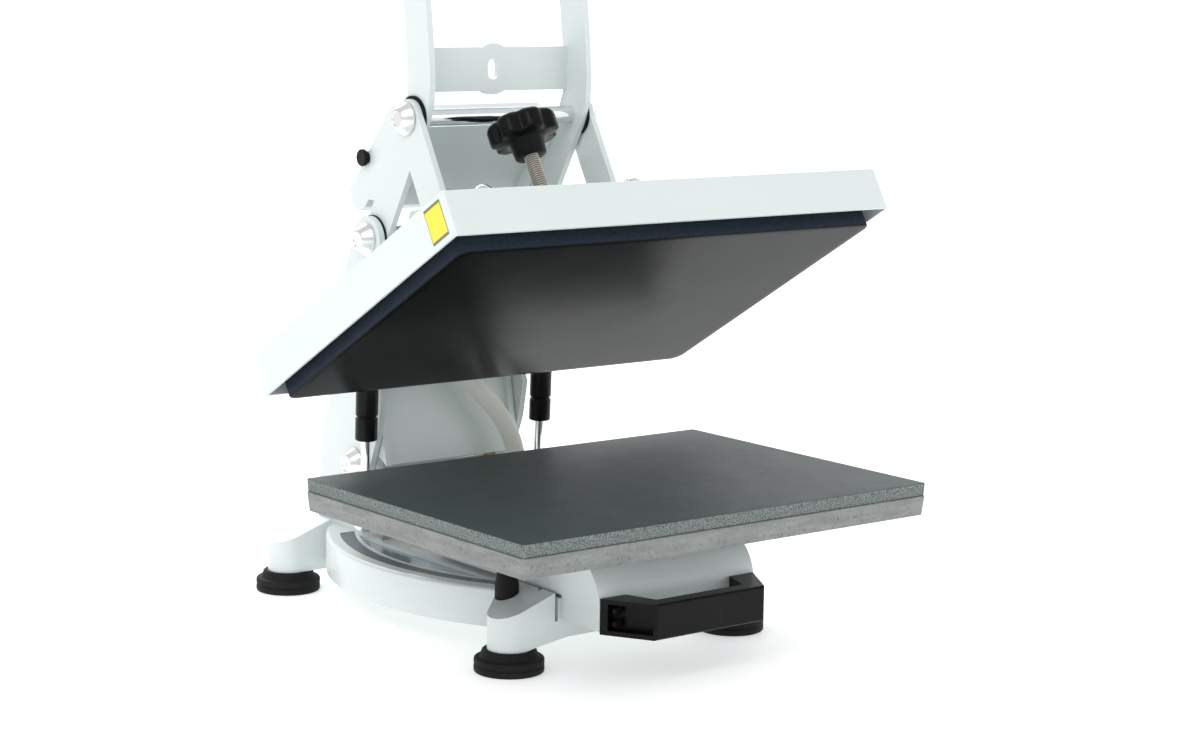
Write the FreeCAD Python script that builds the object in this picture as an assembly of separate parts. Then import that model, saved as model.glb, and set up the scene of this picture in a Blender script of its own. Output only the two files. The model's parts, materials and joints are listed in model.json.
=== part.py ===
"""Clamshell heat press, 280 x 380 mm platens, slide-out lower platen and toggle lever.

Working frame: X to the right, Y to the back, Z up, zero at the middle of the silicone
pad's top face. The swinging parts are drawn in the shut position and then turned open
about the main hinge. Every finished piece is moved so that the origin ends at the
middle of the footprint on the floor.
"""
import FreeCAD, Part
import os
from math import atan2, cos, degrees, hypot, pi, radians, sin, sqrt, tan

V = FreeCAD.Vector
AXIS_X = V(1, 0, 0)

# ---- driving dimensions, millimetres and degrees ----
PAD_W, PAD_D, PAD_T, PAD_CORNER, PAD_DRAFT = 379.0, 273.0, 9.7, 2.5, 0.8
LOWER_W, LOWER_D, LOWER_T, LOWER_CORNER, LOWER_DRAFT = 380.0, 274.0, 15.2, 4.0, 2.0
FLOOR_Z = -128.0

HEATER_W, HEATER_D, HEATER_T, HEATER_CORNER = 384.6, 264.4, 20.0, 10.0
HEATER_Y, HEATER_Z = 3.0, 0.4            # shut position: middle in Y, underside in Z
COVER_SIDE, COVER_FRONT, COVER_REAR = 10.0, 12.5, 8.9
COVER_LOW, COVER_H, SHEET_T = 7.7, 34.0, 2.0
OPEN_ANGLE = 30.4                        # how far the upper platen swings open

HINGE_Y, HINGE_Z = 250.5, -20.0          # main hinge of the swing frame
LEVER_Y, LEVER_Z = 215.0, 166.3          # lever pivot in the cheeks
KNEE_Y, KNEE_Z = 160.1, 264.0            # knee of the toggle, open position
LINK_DIR_Y, LINK_DIR_Z, LINK_L = -0.494, -0.869, 88.0
LEVER_TURN = 83.0                        # lever travel from open to shut

PLATE_T = 5.0                            # lever, link and cheek plate
BAR_W = 30.0                             # width of lever and link
LINK_OUT = 84.6                          # outer face of the links
LEVER_OUT = 77.6                         # outer face of the lever plates
CHEEK_OUT = 72.0                         # outer face of the cheeks' lower part
SWING_OUT = 66.0                         # outer face of the swing plates
SHAFT_R, RUN_GAP = 8.0, 0.05
KNEE_R = 7.0
CAP_BASE_R, CAP_FACE_R, CAP_H = 13.0, 7.5, 9.0

BASE_LOW, BASE_TOP, LEG_LOW, LEG_TOP = -105.0, -75.0, -111.0, -70.0
ARC_X, ARC_Y, ARC_R = 92.0, 142.0, 220.0 # side arc's centre (for the left side) and radius
FRONT_FOOT_X, FRONT_FOOT_Y = 107.0, -10.0
REAR_FOOT_X, REAR_FOOT_Y = 108.0, 295.0
LEG_R, FOOT_R, FOOT_TOP_R, BUMPER_R = 16.5, 26.0, 20.0, 9.0
LEG_SLOPE, LEG_SLOPE_X = 18.8, 76.0      # degrees, and where the slope starts
BASE_FRONT, BASE_REAR, CORE_X = -26.5, 306.0, 75.0

BUMPER_X, BUMPER_Y, BUMPER_LOW, STUD_TOP = 95.0, 10.0, -80.5, -88.0

DRAWER_X, DRAWER_FRONT, DRAWER_REAR = 74.0, -73.0, 140.0
DRAWER_TOP, DRAWER_LOW, APRON_LOW, DRAWER_ROUND = -38.0, -72.0, -90.5, 34.0

SPRING_X, SPRING_TUBE_R, SPRING_ROD_R = 86.0, 9.0, 4.0
SPRING_TOP_Y, SPRING_TOP_Z = 210.0, 85.0
SPRING_LOW_Y, SPRING_LOW_Z = 215.0, -58.0

GUIDE_X, GUIDE_Y, GUIDE_R = 72.0, -16.0, 4.0
GRIP_Y, GRIP_Z, GRIP_R = 178.0, 535.0, 15.0
PLATE_Y, PLATE_Z = 167.0, 300.5          # middle of the lever's cross plate
SLEEVE_R = 7.5

link_low_y = KNEE_Y + LINK_DIR_Y * LINK_L
link_low_z = KNEE_Z + LINK_DIR_Z * LINK_L
cover_front = HEATER_Y - HEATER_D / 2 - COVER_FRONT
cover_rear = HEATER_Y + HEATER_D / 2 + COVER_REAR
cover_x = HEATER_W / 2 + COVER_SIDE
cover_low = HEATER_Z + COVER_LOW
cover_top = cover_low + COVER_H
lower_bottom = -PAD_T - LOWER_T

pieces = {}


# ---- small helpers ----
def box(x0, x1, y0, y1, z0, z1):
    return Part.makeBox(x1 - x0, y1 - y0, z1 - z0, V(x0, y0, z0))


def cyl_x(y, z, r, x0, x1):
    return Part.makeCylinder(r, x1 - x0, V(x0, y, z), AXIS_X)


def cyl_z(x, y, r, z0, z1):
    return Part.makeCylinder(r, z1 - z0, V(x, y, z0))


def mirrored(shape):
    return shape.mirror(V(0, 0, 0), AXIS_X)


def both_sides(shape):
    return Part.makeCompound([shape, mirrored(shape)])


def side_polygon(points, x0, x1):
    """A flat outline in Y and Z, given thickness along X."""
    corners = [V(x0, y, z) for y, z in points]
    face = Part.Face(Part.makePolygon(corners + corners[:1]))
    return face.extrude(V(x1 - x0, 0, 0))


def plan_polygon(points, z0, z1):
    corners = [V(x, y, z0) for x, y in points]
    face = Part.Face(Part.makePolygon(corners + corners[:1]))
    return face.extrude(V(0, 0, z1 - z0))


def joined(shapes):
    return shapes[0].fuse(shapes[1:]).removeSplitter()


def side_bar(points, width, x0, x1):
    """A flat bar through the points, with round ends and round corners."""
    parts = [cyl_x(y, z, width / 2, x0, x1) for y, z in points]
    for (y0, z0), (y1, z1) in zip(points, points[1:]):
        length = hypot(y1 - y0, z1 - z0)
        bar = box(x0, x1, 0, length, -width / 2, width / 2)
        bar.rotate(V(0, 0, 0), AXIS_X, degrees(atan2(z1 - z0, y1 - y0)))
        bar.translate(V(0, y0, z0))
        parts.append(bar)
    return joined(parts)


def rounded_slab(w, d, corner, x, y, z0, z1):
    slab = box(x - w / 2, x + w / 2, y - d / 2, y + d / 2, z0, z1)
    return slab.makeFillet(corner, upright_edges(slab))


def drafted_slab(w, d, corner, draft, z0, z1):
    """A slab whose sides draw in by the draft towards its underside."""
    outlines = []
    for z, inset in ((z0, draft), (z1, 0.0)):
        slab = rounded_slab(w - 2 * inset, d - 2 * inset, corner, 0, 0, z, z + 1)
        outlines.append([face for face in slab.Faces if abs(face.CenterOfMass.z - z) < 1e-6][0].OuterWire)
    return Part.makeLoft(outlines, True, True)


def upright_edges(shape):
    found = []
    for edge in shape.Edges:
        a, b = edge.Vertexes[0].Point, edge.Vertexes[-1].Point
        if abs(a.x - b.x) < 1e-6 and abs(a.y - b.y) < 1e-6:
            found.append(edge)
    return found


def edges_at_z(shape, z):
    return [e for e in shape.Edges if all(abs(v.Z - z) < 1e-6 for v in e.Vertexes)]


def cap(y, z, face_x):
    """Turned aluminium cap on a pivot, on the left side, its base against face_x."""
    cone = Part.makeCone(CAP_BASE_R, CAP_FACE_R, CAP_H - 2, V(-face_x - 2, y, z), V(-1, 0, 0))
    foot = cyl_x(y, z, CAP_BASE_R, -face_x - 2, -face_x)
    dish = cyl_x(y, z, CAP_FACE_R - 2, -face_x - CAP_H, -face_x - CAP_H + 0.8)
    return joined([cone, foot]).cut(dish)


def swung_open(shape):
    """Turn a piece from the shut position to the open one, about the main hinge."""
    shape.rotate(V(0, HINGE_Y, HINGE_Z), AXIS_X, -OPEN_ANGLE)
    return shape


def turned(y, z, angle, about_y, about_z):
    """A point in Y and Z, turned about another by an angle in degrees."""
    a = radians(angle)
    dy, dz = y - about_y, z - about_z
    return about_y + dy * cos(a) - dz * sin(a), about_z + dy * sin(a) + dz * cos(a)


def shut_point(y, z):
    """Where a point of the open swing frame lies in the shut position."""
    return turned(y, z, OPEN_ANGLE, HINGE_Y, HINGE_Z)


# ---- base ----
def lens(inset, z0, z1):
    """The part of the base between its two side arcs."""
    left = cyl_z(ARC_X, ARC_Y, ARC_R - inset, z0, z1)
    right = cyl_z(-ARC_X, ARC_Y, ARC_R - inset, z0, z1)
    strip = box(-200, 200, BASE_FRONT + inset, BASE_REAR - inset, z0, z1)
    return left.common(right).common(strip)


def leg(foot_x, foot_y, root_dy, z0, z1):
    """One pillar leg: a round end over the foot that runs in to the core."""
    end = cyl_z(-foot_x, foot_y, LEG_R, z0, z1)
    root_x = foot_x - 42
    length = hypot(foot_x - root_x, root_dy)
    arm = box(0, length, -LEG_R, LEG_R, z0, z1)
    arm.rotate(V(0, 0, 0), V(0, 0, 1), degrees(atan2(root_dy, foot_x - root_x)))
    arm.translate(V(-foot_x, foot_y, 0))
    return joined([end, arm])


def front_wall(z1):
    """Wall between the front legs, flush with them, its lower edge a shallow arch."""
    notch_x, notch_z = CORE_X + 3, DRAWER_LOW - 20
    half = [(45, LEG_LOW + 9), (FRONT_FOOT_X, LEG_LOW), (FRONT_FOOT_X, z1), (notch_x, z1), (notch_x, notch_z)]
    outline = half + [(-x, z) for x, z in half[::-1]]
    corners = [V(x, FRONT_FOOT_Y - LEG_R, z) for x, z in outline]
    return Part.Face(Part.makePolygon(corners + corners[:1])).extrude(V(0, LEG_R, 0))


def all_legs(z0, z1):
    front = leg(FRONT_FOOT_X, FRONT_FOOT_Y, 36, z0, z1)
    rear = leg(REAR_FOOT_X, REAR_FOOT_Y, 0, z0, z1)
    return [front, mirrored(front), rear, mirrored(rear), front_wall(z1)]


def leg_slope():
    """The wedge that is cut off the tops of the left legs, falling away from the core."""
    wedge = box(-90, 0, -100, 400, 0, 60)
    wedge.rotate(V(0, 0, 0), V(0, 1, 0), -LEG_SLOPE)
    wedge.translate(V(-LEG_SLOPE_X, 0, LEG_TOP))
    return wedge


def arc_band(r_in, r_out, z0, z1, y_half):
    """A curved strip along the left side arc."""
    ring = cyl_z(ARC_X, ARC_Y, r_out, z0, z1).cut(cyl_z(ARC_X, ARC_Y, r_in, z0 - 1, z1 + 1))
    return ring.common(box(-200, -60, ARC_Y - y_half, ARC_Y + y_half, z0, z1))


def base_shell():
    core = box(-CORE_X, CORE_X, BASE_FRONT, BASE_REAR, BASE_LOW, BASE_TOP)
    body = joined([lens(0, BASE_LOW, BASE_TOP), core])
    body = body.makeFillet(3.0, [e for e in edges_at_z(body, BASE_TOP) if e.Length > 150])
    middle = box(-CORE_X - 3, CORE_X + 3, -100, 400, BASE_TOP, LEG_TOP + 1)
    body = joined([body] + [one.cut(middle) for one in all_legs(LEG_LOW, LEG_TOP)])
    above_legs = leg_slope().cut(lens(-5, BASE_TOP - 40, BASE_TOP))
    body = body.cut([above_legs, mirrored(above_legs)])
    wall = 4.0
    hollow = joined([lens(wall, LEG_LOW - 1, BASE_TOP - wall),
                     box(-CORE_X + wall, CORE_X - wall, BASE_FRONT + wall, BASE_REAR - wall,
                         LEG_LOW - 1, BASE_TOP - wall)])
    groove = arc_band(ARC_R - 23, ARC_R - 11, BASE_TOP - 2.0, BASE_TOP + 1, 106)
    pool = cyl_z(ARC_X, ARC_Y, ARC_R - 26, BASE_TOP - 2.5, BASE_TOP + 1)
    pool = pool.common(box(-200, -CORE_X - 4, ARC_Y - 100, ARC_Y + 100, BASE_TOP - 2.5, BASE_TOP + 1))
    cuts = [hollow, groove, mirrored(groove), pool, mirrored(pool),
            cyl_z(53, 196, SLEEVE_R + 1.0, BASE_TOP - wall - 1, BASE_TOP + 1)]
    cuts += [cyl_z(x, y, 4.0, LEG_LOW - 1, STUD_TOP) for x, y in foot_places()]
    cuts += [cyl_z(s * BUMPER_X, BUMPER_Y, BUMPER_R, BUMPER_LOW, LEG_TOP + 1) for s in (-1, 1)]
    return body.cut(cuts)


def foot_places():
    return [(s * FRONT_FOOT_X, FRONT_FOOT_Y) for s in (-1, 1)] + \
           [(s * REAR_FOOT_X, REAR_FOOT_Y) for s in (-1, 1)]


def base_parts():
    pieces["base_shell"] = base_shell()
    inlay = arc_band(ARC_R - 22.6, ARC_R - 11.4, BASE_TOP - 2.0, BASE_TOP - 0.4, 105)
    pieces["arc_inlays"] = both_sides(inlay)
    feet, studs = [], []
    for x, y in foot_places():
        ring = cyl_z(x, y, FOOT_R, FLOOR_Z, FLOOR_Z + 11)
        ring = ring.makeFillet(1.5, ring.Edges[:1] + ring.Edges[2:])
        step = Part.makeCone(FOOT_TOP_R + 2, FOOT_TOP_R, 6, V(x, y, FLOOR_Z + 11))
        foot = joined([ring, step]).cut(cyl_z(x, y, 9, FLOOR_Z - 1, FLOOR_Z + 7))
        feet.append(foot.cut(cyl_z(x, y, 4.0, FLOOR_Z, LEG_LOW + 1)))
        head = cyl_z(x, y, 7, FLOOR_Z + 2, FLOOR_Z + 7)
        studs.append(joined([head, cyl_z(x, y, 4.0, FLOOR_Z + 7, STUD_TOP)]))
    pieces["rubber_feet"] = Part.makeCompound(feet)
    pieces["foot_studs"] = Part.makeCompound(studs)
    bumper = cyl_z(-BUMPER_X, BUMPER_Y, BUMPER_R - 0.02, BUMPER_LOW, lower_bottom - 0.4)
    pieces["front_bumpers"] = both_sides(bumper.makeFillet(1.2, edges_at_z(bumper, lower_bottom - 0.4)))


def cheek_left():
    """Left cheek: a tapered plate, set outwards above the gas spring by a joggle."""
    outline = [(240, BASE_TOP), (234, -40), (226, -12), (217, 10), (211, 41), (224, 64), (225, 98),
               (203, 128), (196.5, 150), (196.5, LEVER_Z), (233.5, LEVER_Z), (245, 142), (262, 105),
               (280, 60), (292, 20), (299, -10), (304, -42), (306, BASE_TOP)]
    blank = joined([side_polygon(outline, -100, -50), cyl_x(LEVER_Y, LEVER_Z, 18.5, -100, -50)])
    t = PLATE_T
    run = [(-CHEEK_OUT, BASE_TOP), (-CHEEK_OUT, 58), (-LINK_OUT, 104), (-LINK_OUT, 220),
           (-LINK_OUT + t, 220), (-LINK_OUT + t, 104 - 0.6), (-CHEEK_OUT + t, 58 - 0.6),
           (-CHEEK_OUT + t, BASE_TOP)]
    corners = [V(x, 150, z) for x, z in run]
    slab = Part.Face(Part.makePolygon(corners + corners[:1])).extrude(V(0, 200, 0))
    flange = box(-CHEEK_OUT + t, -CHEEK_OUT + 22, 244, 302, BASE_TOP, BASE_TOP + 4)
    plate = joined([blank.common(slab), flange])
    return plate.cut([cyl_x(HINGE_Y, HINGE_Z, SHAFT_R, -100, 0), cyl_x(LEVER_Y, LEVER_Z, SHAFT_R, -100, 0)])


def tower_parts():
    left = cheek_left()
    pieces["cheek_left"] = left
    pieces["cheek_right"] = mirrored(left)
    pieces["main_hinge_shaft"] = cyl_x(HINGE_Y, HINGE_Z, SHAFT_R, -CHEEK_OUT, CHEEK_OUT)
    middle = cyl_x(LEVER_Y, LEVER_Z, SHAFT_R + 1.5, -LEVER_OUT + PLATE_T + 0.4, LEVER_OUT - PLATE_T - 0.4)
    pieces["lever_pivot_shaft"] = joined([cyl_x(LEVER_Y, LEVER_Z, SHAFT_R, -LINK_OUT, LINK_OUT), middle])
    caps = [cap(HINGE_Y, HINGE_Z, CHEEK_OUT), cap(LEVER_Y, LEVER_Z, LINK_OUT)]
    pieces["pivot_caps"] = Part.makeCompound(caps + [mirrored(c) for c in caps])
    washer = cyl_x(LEVER_Y, LEVER_Z, 19.0, -LINK_OUT + PLATE_T, -LEVER_OUT - 0.3)
    washer = washer.cut(cyl_x(LEVER_Y, LEVER_Z, SHAFT_R, -100, 0))
    pieces["pivot_washers"] = both_sides(washer)
    rear_panel()
    mains_parts()
    stud = cyl_x(SPRING_LOW_Y, SPRING_LOW_Z, 4.0, -SPRING_X + 6.6, -CORE_X + 4)
    post = box(-CORE_X, -CORE_X + 8, SPRING_LOW_Y - 9, SPRING_LOW_Y + 9, BASE_TOP, SPRING_LOW_Z + 9)
    pieces["gas_spring_brackets"] = both_sides(joined([stud, post]))


INLET_X, SWITCH_X, MAINS_Z = -15.0, 15.0, -36.0
PANEL_Y, PANEL_T = 286.0, 2.5
INLET_W, INLET_H, SWITCH_W, SWITCH_H = 27.0, 20.0, 13.0, 19.0


def rear_panel():
    """Sheet cover that closes the tower at the back and carries the mains fittings."""
    x1 = CHEEK_OUT - PLATE_T - 0.3
    panel = box(-x1, x1, PANEL_Y, PANEL_Y + PANEL_T, BASE_TOP + 4.3, 26)
    lip = box(-x1, x1, PANEL_Y - 6, PANEL_Y, 26 - PANEL_T, 26)
    panel = joined([panel, lip])
    holes = [box(INLET_X - INLET_W / 2, INLET_X + INLET_W / 2, 270, 300,
                 MAINS_Z - INLET_H / 2, MAINS_Z + INLET_H / 2),
             box(SWITCH_X - SWITCH_W / 2 - 2, SWITCH_X + SWITCH_W / 2 + 2, 270, 300,
                 MAINS_Z - SWITCH_H / 2 - 2, MAINS_Z + SWITCH_H / 2 + 2)]
    slots = [box(-38 + 12 * i, -32 + 12 * i, 283, 290, 2, 18) for i in range(7)]
    pieces["tower_rear_panel"] = panel.cut(holes + slots)


def mains_parts():
    back = PANEL_Y + PANEL_T
    flange = box(INLET_X - 23, SWITCH_X + 17, back, back + 3, MAINS_Z - 15, MAINS_Z + 15)
    flange = flange.makeFillet(5, [e for e in flange.Edges if abs(e.tangentAt(e.FirstParameter).y) > 0.9])
    throat = box(INLET_X - INLET_W / 2, INLET_X + INLET_W / 2, back - 20, back,
                 MAINS_Z - INLET_H / 2, MAINS_Z + INLET_H / 2)
    cavity = box(INLET_X - 12, INLET_X + 12, back - 16, back + 4, MAINS_Z - 8, MAINS_Z + 8)
    body = box(SWITCH_X - SWITCH_W / 2 - 2, SWITCH_X + SWITCH_W / 2 + 2, back - 18, back,
               MAINS_Z - SWITCH_H / 2 - 2, MAINS_Z + SWITCH_H / 2 + 2)
    well = box(SWITCH_X - SWITCH_W / 2, SWITCH_X + SWITCH_W / 2, back - 12, back + 4,
               MAINS_Z - SWITCH_H / 2, MAINS_Z + SWITCH_H / 2)
    module = joined([flange, throat, body]).cut([cavity, well])
    prongs = [box(INLET_X + dx - 1, INLET_X + dx + 1, back - 17, back - 3, MAINS_Z + dz - 2, MAINS_Z + dz + 2)
              for dx, dz in ((-7, -2), (0, 3), (7, -2))]
    pieces["mains_module"] = joined([module] + prongs)
    half = SWITCH_H / 2 - 1.9
    outline = [(back - 1, MAINS_Z - half), (back + 4, MAINS_Z - half), (back + 1.5, MAINS_Z),
               (back + 1.0, MAINS_Z + half), (back - 1, MAINS_Z + half), (back - 7, MAINS_Z)]
    rocker = side_polygon(outline, SWITCH_X - SWITCH_W / 2 + 0.4, SWITCH_X + SWITCH_W / 2 - 0.4)
    pivot = cyl_x(back - 3, MAINS_Z, 1.5, SWITCH_X - SWITCH_W / 2 + 0.1, SWITCH_X + SWITCH_W / 2 - 0.1)
    pieces["mains_rocker"] = joined([rocker, pivot])


# ---- drawer with the lower platen ----
def drawer_profile(inset):
    """Side outline of the drawer's skin, square at the back and quarter-round in front."""
    front, top, r = DRAWER_FRONT + inset, DRAWER_TOP - inset, DRAWER_ROUND - inset
    middle = V(0, front + r * (1 - cos(pi / 4)), top - r * (1 - sin(pi / 4)))
    low = APRON_LOW if inset == 0 else APRON_LOW - 5
    lines = [Part.LineSegment(V(0, DRAWER_REAR + inset * 3, top), V(0, front + r, top)),
             Part.Arc(V(0, front + r, top), middle, V(0, front, top - r)),
             Part.LineSegment(V(0, front, top - r), V(0, front, low)),
             Part.LineSegment(V(0, front, low), V(0, BASE_FRONT - 2.5, low)),
             Part.LineSegment(V(0, BASE_FRONT - 2.5, low), V(0, BASE_FRONT - 2.5, DRAWER_LOW - inset)),
             Part.LineSegment(V(0, BASE_FRONT - 2.5, DRAWER_LOW - inset),
                              V(0, DRAWER_REAR + inset * 3, DRAWER_LOW - inset)),
             Part.LineSegment(V(0, DRAWER_REAR + inset * 3, DRAWER_LOW - inset),
                              V(0, DRAWER_REAR + inset * 3, top))]
    return Part.Face(Part.Wire([line.toShape() for line in lines]))


def drawer_parts():
    skin = drawer_profile(0).extrude(V(2 * DRAWER_X, 0, 0))
    skin.translate(V(-DRAWER_X, 0, 0))
    inside = drawer_profile(SHEET_T).extrude(V(2 * (DRAWER_X - SHEET_T), 0, 0))
    inside.translate(V(-DRAWER_X + SHEET_T, 0, 0))
    pieces["drawer_carriage"] = skin.cut(inside)
    rail = box(-DRAWER_X + SHEET_T, -DRAWER_X + SHEET_T + 4, -24, 130, DRAWER_LOW + 8, DRAWER_LOW + 22)
    pieces["slide_inner_rails"] = both_sides(rail)
    outer_x = -DRAWER_X + SHEET_T + 4.4
    web = box(outer_x, outer_x + 3, -24, 176, BASE_TOP, DRAWER_LOW + 24)
    foot = box(outer_x + 3, outer_x + 16, -24, 176, BASE_TOP, BASE_TOP + 3)
    pieces["slide_outer_rails"] = both_sides(joined([web, foot]))
    spacers = [cyl_z(sx * 50, sy, 9, DRAWER_TOP, lower_bottom).cut(cyl_z(sx * 50, sy, 3, -60, 0))
               for sx in (-1, 1) for sy in (-30, 95)]
    pieces["platen_spacers"] = Part.makeCompound(spacers)
    pieces["lower_platen"] = drafted_slab(LOWER_W, LOWER_D, LOWER_CORNER, LOWER_DRAFT, lower_bottom, -PAD_T)
    pieces["silicone_pad"] = drafted_slab(PAD_W, PAD_D, PAD_CORNER, PAD_DRAFT, -PAD_T, 0)
    drawer_handle()


HANDLE_BACK_X, HANDLE_FRONT_X = 73.0, 51.0
HANDLE_FRONT_Y, HANDLE_LOW, HANDLE_HIGH = -112.0, -92.5, -66.0


def drawer_handle():
    """Moulded pull: two slanting ends with screw pockets and a bar between them."""
    outer = [(-HANDLE_BACK_X, DRAWER_FRONT - 1), (-HANDLE_FRONT_X, HANDLE_FRONT_Y),
             (HANDLE_FRONT_X, HANDLE_FRONT_Y), (HANDLE_BACK_X, DRAWER_FRONT - 1)]
    inner = [(-HANDLE_FRONT_X + 1, DRAWER_FRONT), (-HANDLE_FRONT_X + 10, HANDLE_FRONT_Y + 13),
             (HANDLE_FRONT_X - 10, HANDLE_FRONT_Y + 13), (HANDLE_FRONT_X - 1, DRAWER_FRONT)]
    body = plan_polygon(outer, HANDLE_LOW, HANDLE_HIGH)
    body = body.makeFillet(2.0, [e for e in body.Edges
                                 if all(v.Y < DRAWER_FRONT - 5 for v in e.Vertexes)])
    pull = body.cut(plan_polygon(inner, HANDLE_LOW - 1, HANDLE_HIGH + 1))
    slant = degrees(atan2(HANDLE_FRONT_Y - DRAWER_FRONT + 1, HANDLE_BACK_X - HANDLE_FRONT_X))
    pocket = box(6, 41, -1, 9, HANDLE_LOW + 3.5, HANDLE_HIGH - 3.5)
    pocket.rotate(V(0, 0, 0), V(0, 0, 1), slant)
    pocket.translate(V(-HANDLE_BACK_X, DRAWER_FRONT - 1, 0))
    pull = pull.cut([pocket, mirrored(pocket)])
    pull.translate(V(0, 1, 0))
    screws, shank_holes, head_holes = [], [], []
    for z in (HANDLE_LOW + 8.5, HANDLE_HIGH - 8.5):
        shank = Part.makeCylinder(2.0, 16, V(-64, DRAWER_FRONT + 3, z), V(0, -1, 0))
        head = Part.makeCylinder(3.6, 2.5, V(-64, DRAWER_FRONT - 8, z), V(0, -1, 0))
        screws.append(joined([shank.common(box(-80, -50, DRAWER_FRONT - 9, 0, -100, 0)), head]))
        shank_holes.append(Part.makeCylinder(2.0, 30, V(-64, DRAWER_FRONT + 5, z), V(0, -1, 0)))
        head_holes.append(Part.makeCylinder(3.8, 30, V(-64, DRAWER_FRONT - 8, z), V(0, -1, 0)))
    shank_holes += [mirrored(hole) for hole in shank_holes]
    head_holes += [mirrored(hole) for hole in head_holes]
    pieces["drawer_handle"] = pull.cut(shank_holes + head_holes)
    pieces["drawer_carriage"] = pieces["drawer_carriage"].cut(shank_holes)
    pieces["handle_screws"] = Part.makeCompound(screws + [mirrored(s) for s in screws])


# ---- swing frame, drawn shut ----
def swing_plate():
    """Left plate of the swing frame: hinge lobe, neck edge, spring lobe and link lobe."""
    link_y, link_z = shut_point(link_low_y, link_low_z)
    stud_y, stud_z = shut_point(SPRING_TOP_Y, SPRING_TOP_Z)
    notch_y, notch_z = shut_point(LEVER_Y, LEVER_Z)
    outline = [(-26, 58), (-26, 76), (link_y - 14, link_z + 10), (link_y, link_z + 16),
               (70, 122), (84, 126.5), (93, 121), (101, 107), (notch_y, 104), (150, 101), (190, 84), (232, 50),
               (264, 12), (HINGE_Y + 24, HINGE_Z), (HINGE_Y - 24, HINGE_Z), (217, -36), (208.4, -8.7),
               (198.5, 19.6), (186, 44), (stud_y + 6, stud_z - 8), (stud_y - 8, stud_z + 2),
               (stud_y - 12, 60), (120, 58)]
    x0, x1 = -SWING_OUT, -SWING_OUT + PLATE_T
    lobes = [cyl_x(HINGE_Y, HINGE_Z, 24, x0, x1), cyl_x(link_y, link_z, 17, x0, x1),
             cyl_x(stud_y, stud_z, 9, x0, x1)]
    plate = joined([side_polygon(outline, x0, x1)] + lobes)
    wing = box(-SWING_OUT - 16, x1, -26, -6, 62, 74)
    plate = joined([plate, wing.common(box(-100, -SWING_OUT, -50, 50, 0, 100))])
    return plate.cut([cyl_x(notch_y, notch_z, 14, -100, 0), cyl_x(HINGE_Y, HINGE_Z, 11, -100, 0),
                      cyl_x(link_y, link_z, KNEE_R + 0.3, -100, 0), cyl_x(stud_y, stud_z, 5, -100, 0),
                      cyl_z(-GUIDE_X, GUIDE_Y, GUIDE_R + RUN_GAP, 50, 90)])


MAGNET_POLE_R, MAGNET_GAP = 7.0, 0.4


def magnet_round(r, depth0, depth1):
    """A round section of the magnet, by depth below the shut lever's cross plate."""
    y, z = turned(PLATE_Y, PLATE_Z, LEVER_TURN, LEVER_Y, LEVER_Z)
    up = V(0, cos(radians(LEVER_TURN)), sin(radians(LEVER_TURN)))
    foot = V(0, y, z) - up * (2.5 + MAGNET_GAP + depth1)
    return Part.makeCylinder(r, depth1 - depth0, foot, up)


def swing_parts():
    left = swung_open(swing_plate())
    pieces["swing_plate_left"] = left
    pieces["swing_plate_right"] = mirrored(left)
    inner = SWING_OUT - PLATE_T
    front = [(221, -34), (212.6, -7), (202.6, 22), (189.5, 48), (166, 74), (136, 90)]
    back = [(y + dy, z + dz) for (y, z), (dy, dz) in
            zip(front, [(3.0, 1), (3.0, 1), (2.9, 1.2), (2.6, 1.8), (2.0, 2.6), (1.4, 3.0)])]
    neck = side_polygon(front + back[::-1], -inner, inner)
    pieces["neck_panel"] = swung_open(neck)
    beam = box(-inner, inner, -26, 44, 62, 74)
    web = box(-inner, inner, 38, 44, 74, 84)
    seat = side_polygon([(38, 74), (56, 74), (84, 97), (84, 101), (54, 104.7)], -22, 22)
    beam = joined([beam, web, seat]).cut(cyl_z(0, HEATER_Y, 6.6, 50, 90))
    magnet = joined([magnet_round(18, 8, 29), magnet_round(MAGNET_POLE_R, 0, 9)])
    beam = beam.cut(magnet_round(19, 0, 29))
    pieces["crossbeam"] = swung_open(beam)
    pieces["hold_down_magnet"] = swung_open(magnet)
    hexagon = [(11.0 * cos(radians(60 * i)), HEATER_Y + 11.0 * sin(radians(60 * i))) for i in range(6)]
    nut = plan_polygon(hexagon, 74, 84).cut(cyl_z(0, HEATER_Y, 6.0 + RUN_GAP, 50, 90))
    pieces["spindle_nut"] = swung_open(nut)
    bush = cyl_x(HINGE_Y, HINGE_Z, 11, -SWING_OUT - 0.5, -SWING_OUT + 12)
    bush = bush.cut(cyl_x(HINGE_Y, HINGE_Z, SHAFT_R + RUN_GAP, -100, 0))
    pieces["hinge_bushes"] = both_sides(bush)
    rod_end = SPRING_X - 9.5
    pieces["gas_spring_crossrod"] = cyl_x(SPRING_TOP_Y, SPRING_TOP_Z, 5, -rod_end, rod_end)


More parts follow.
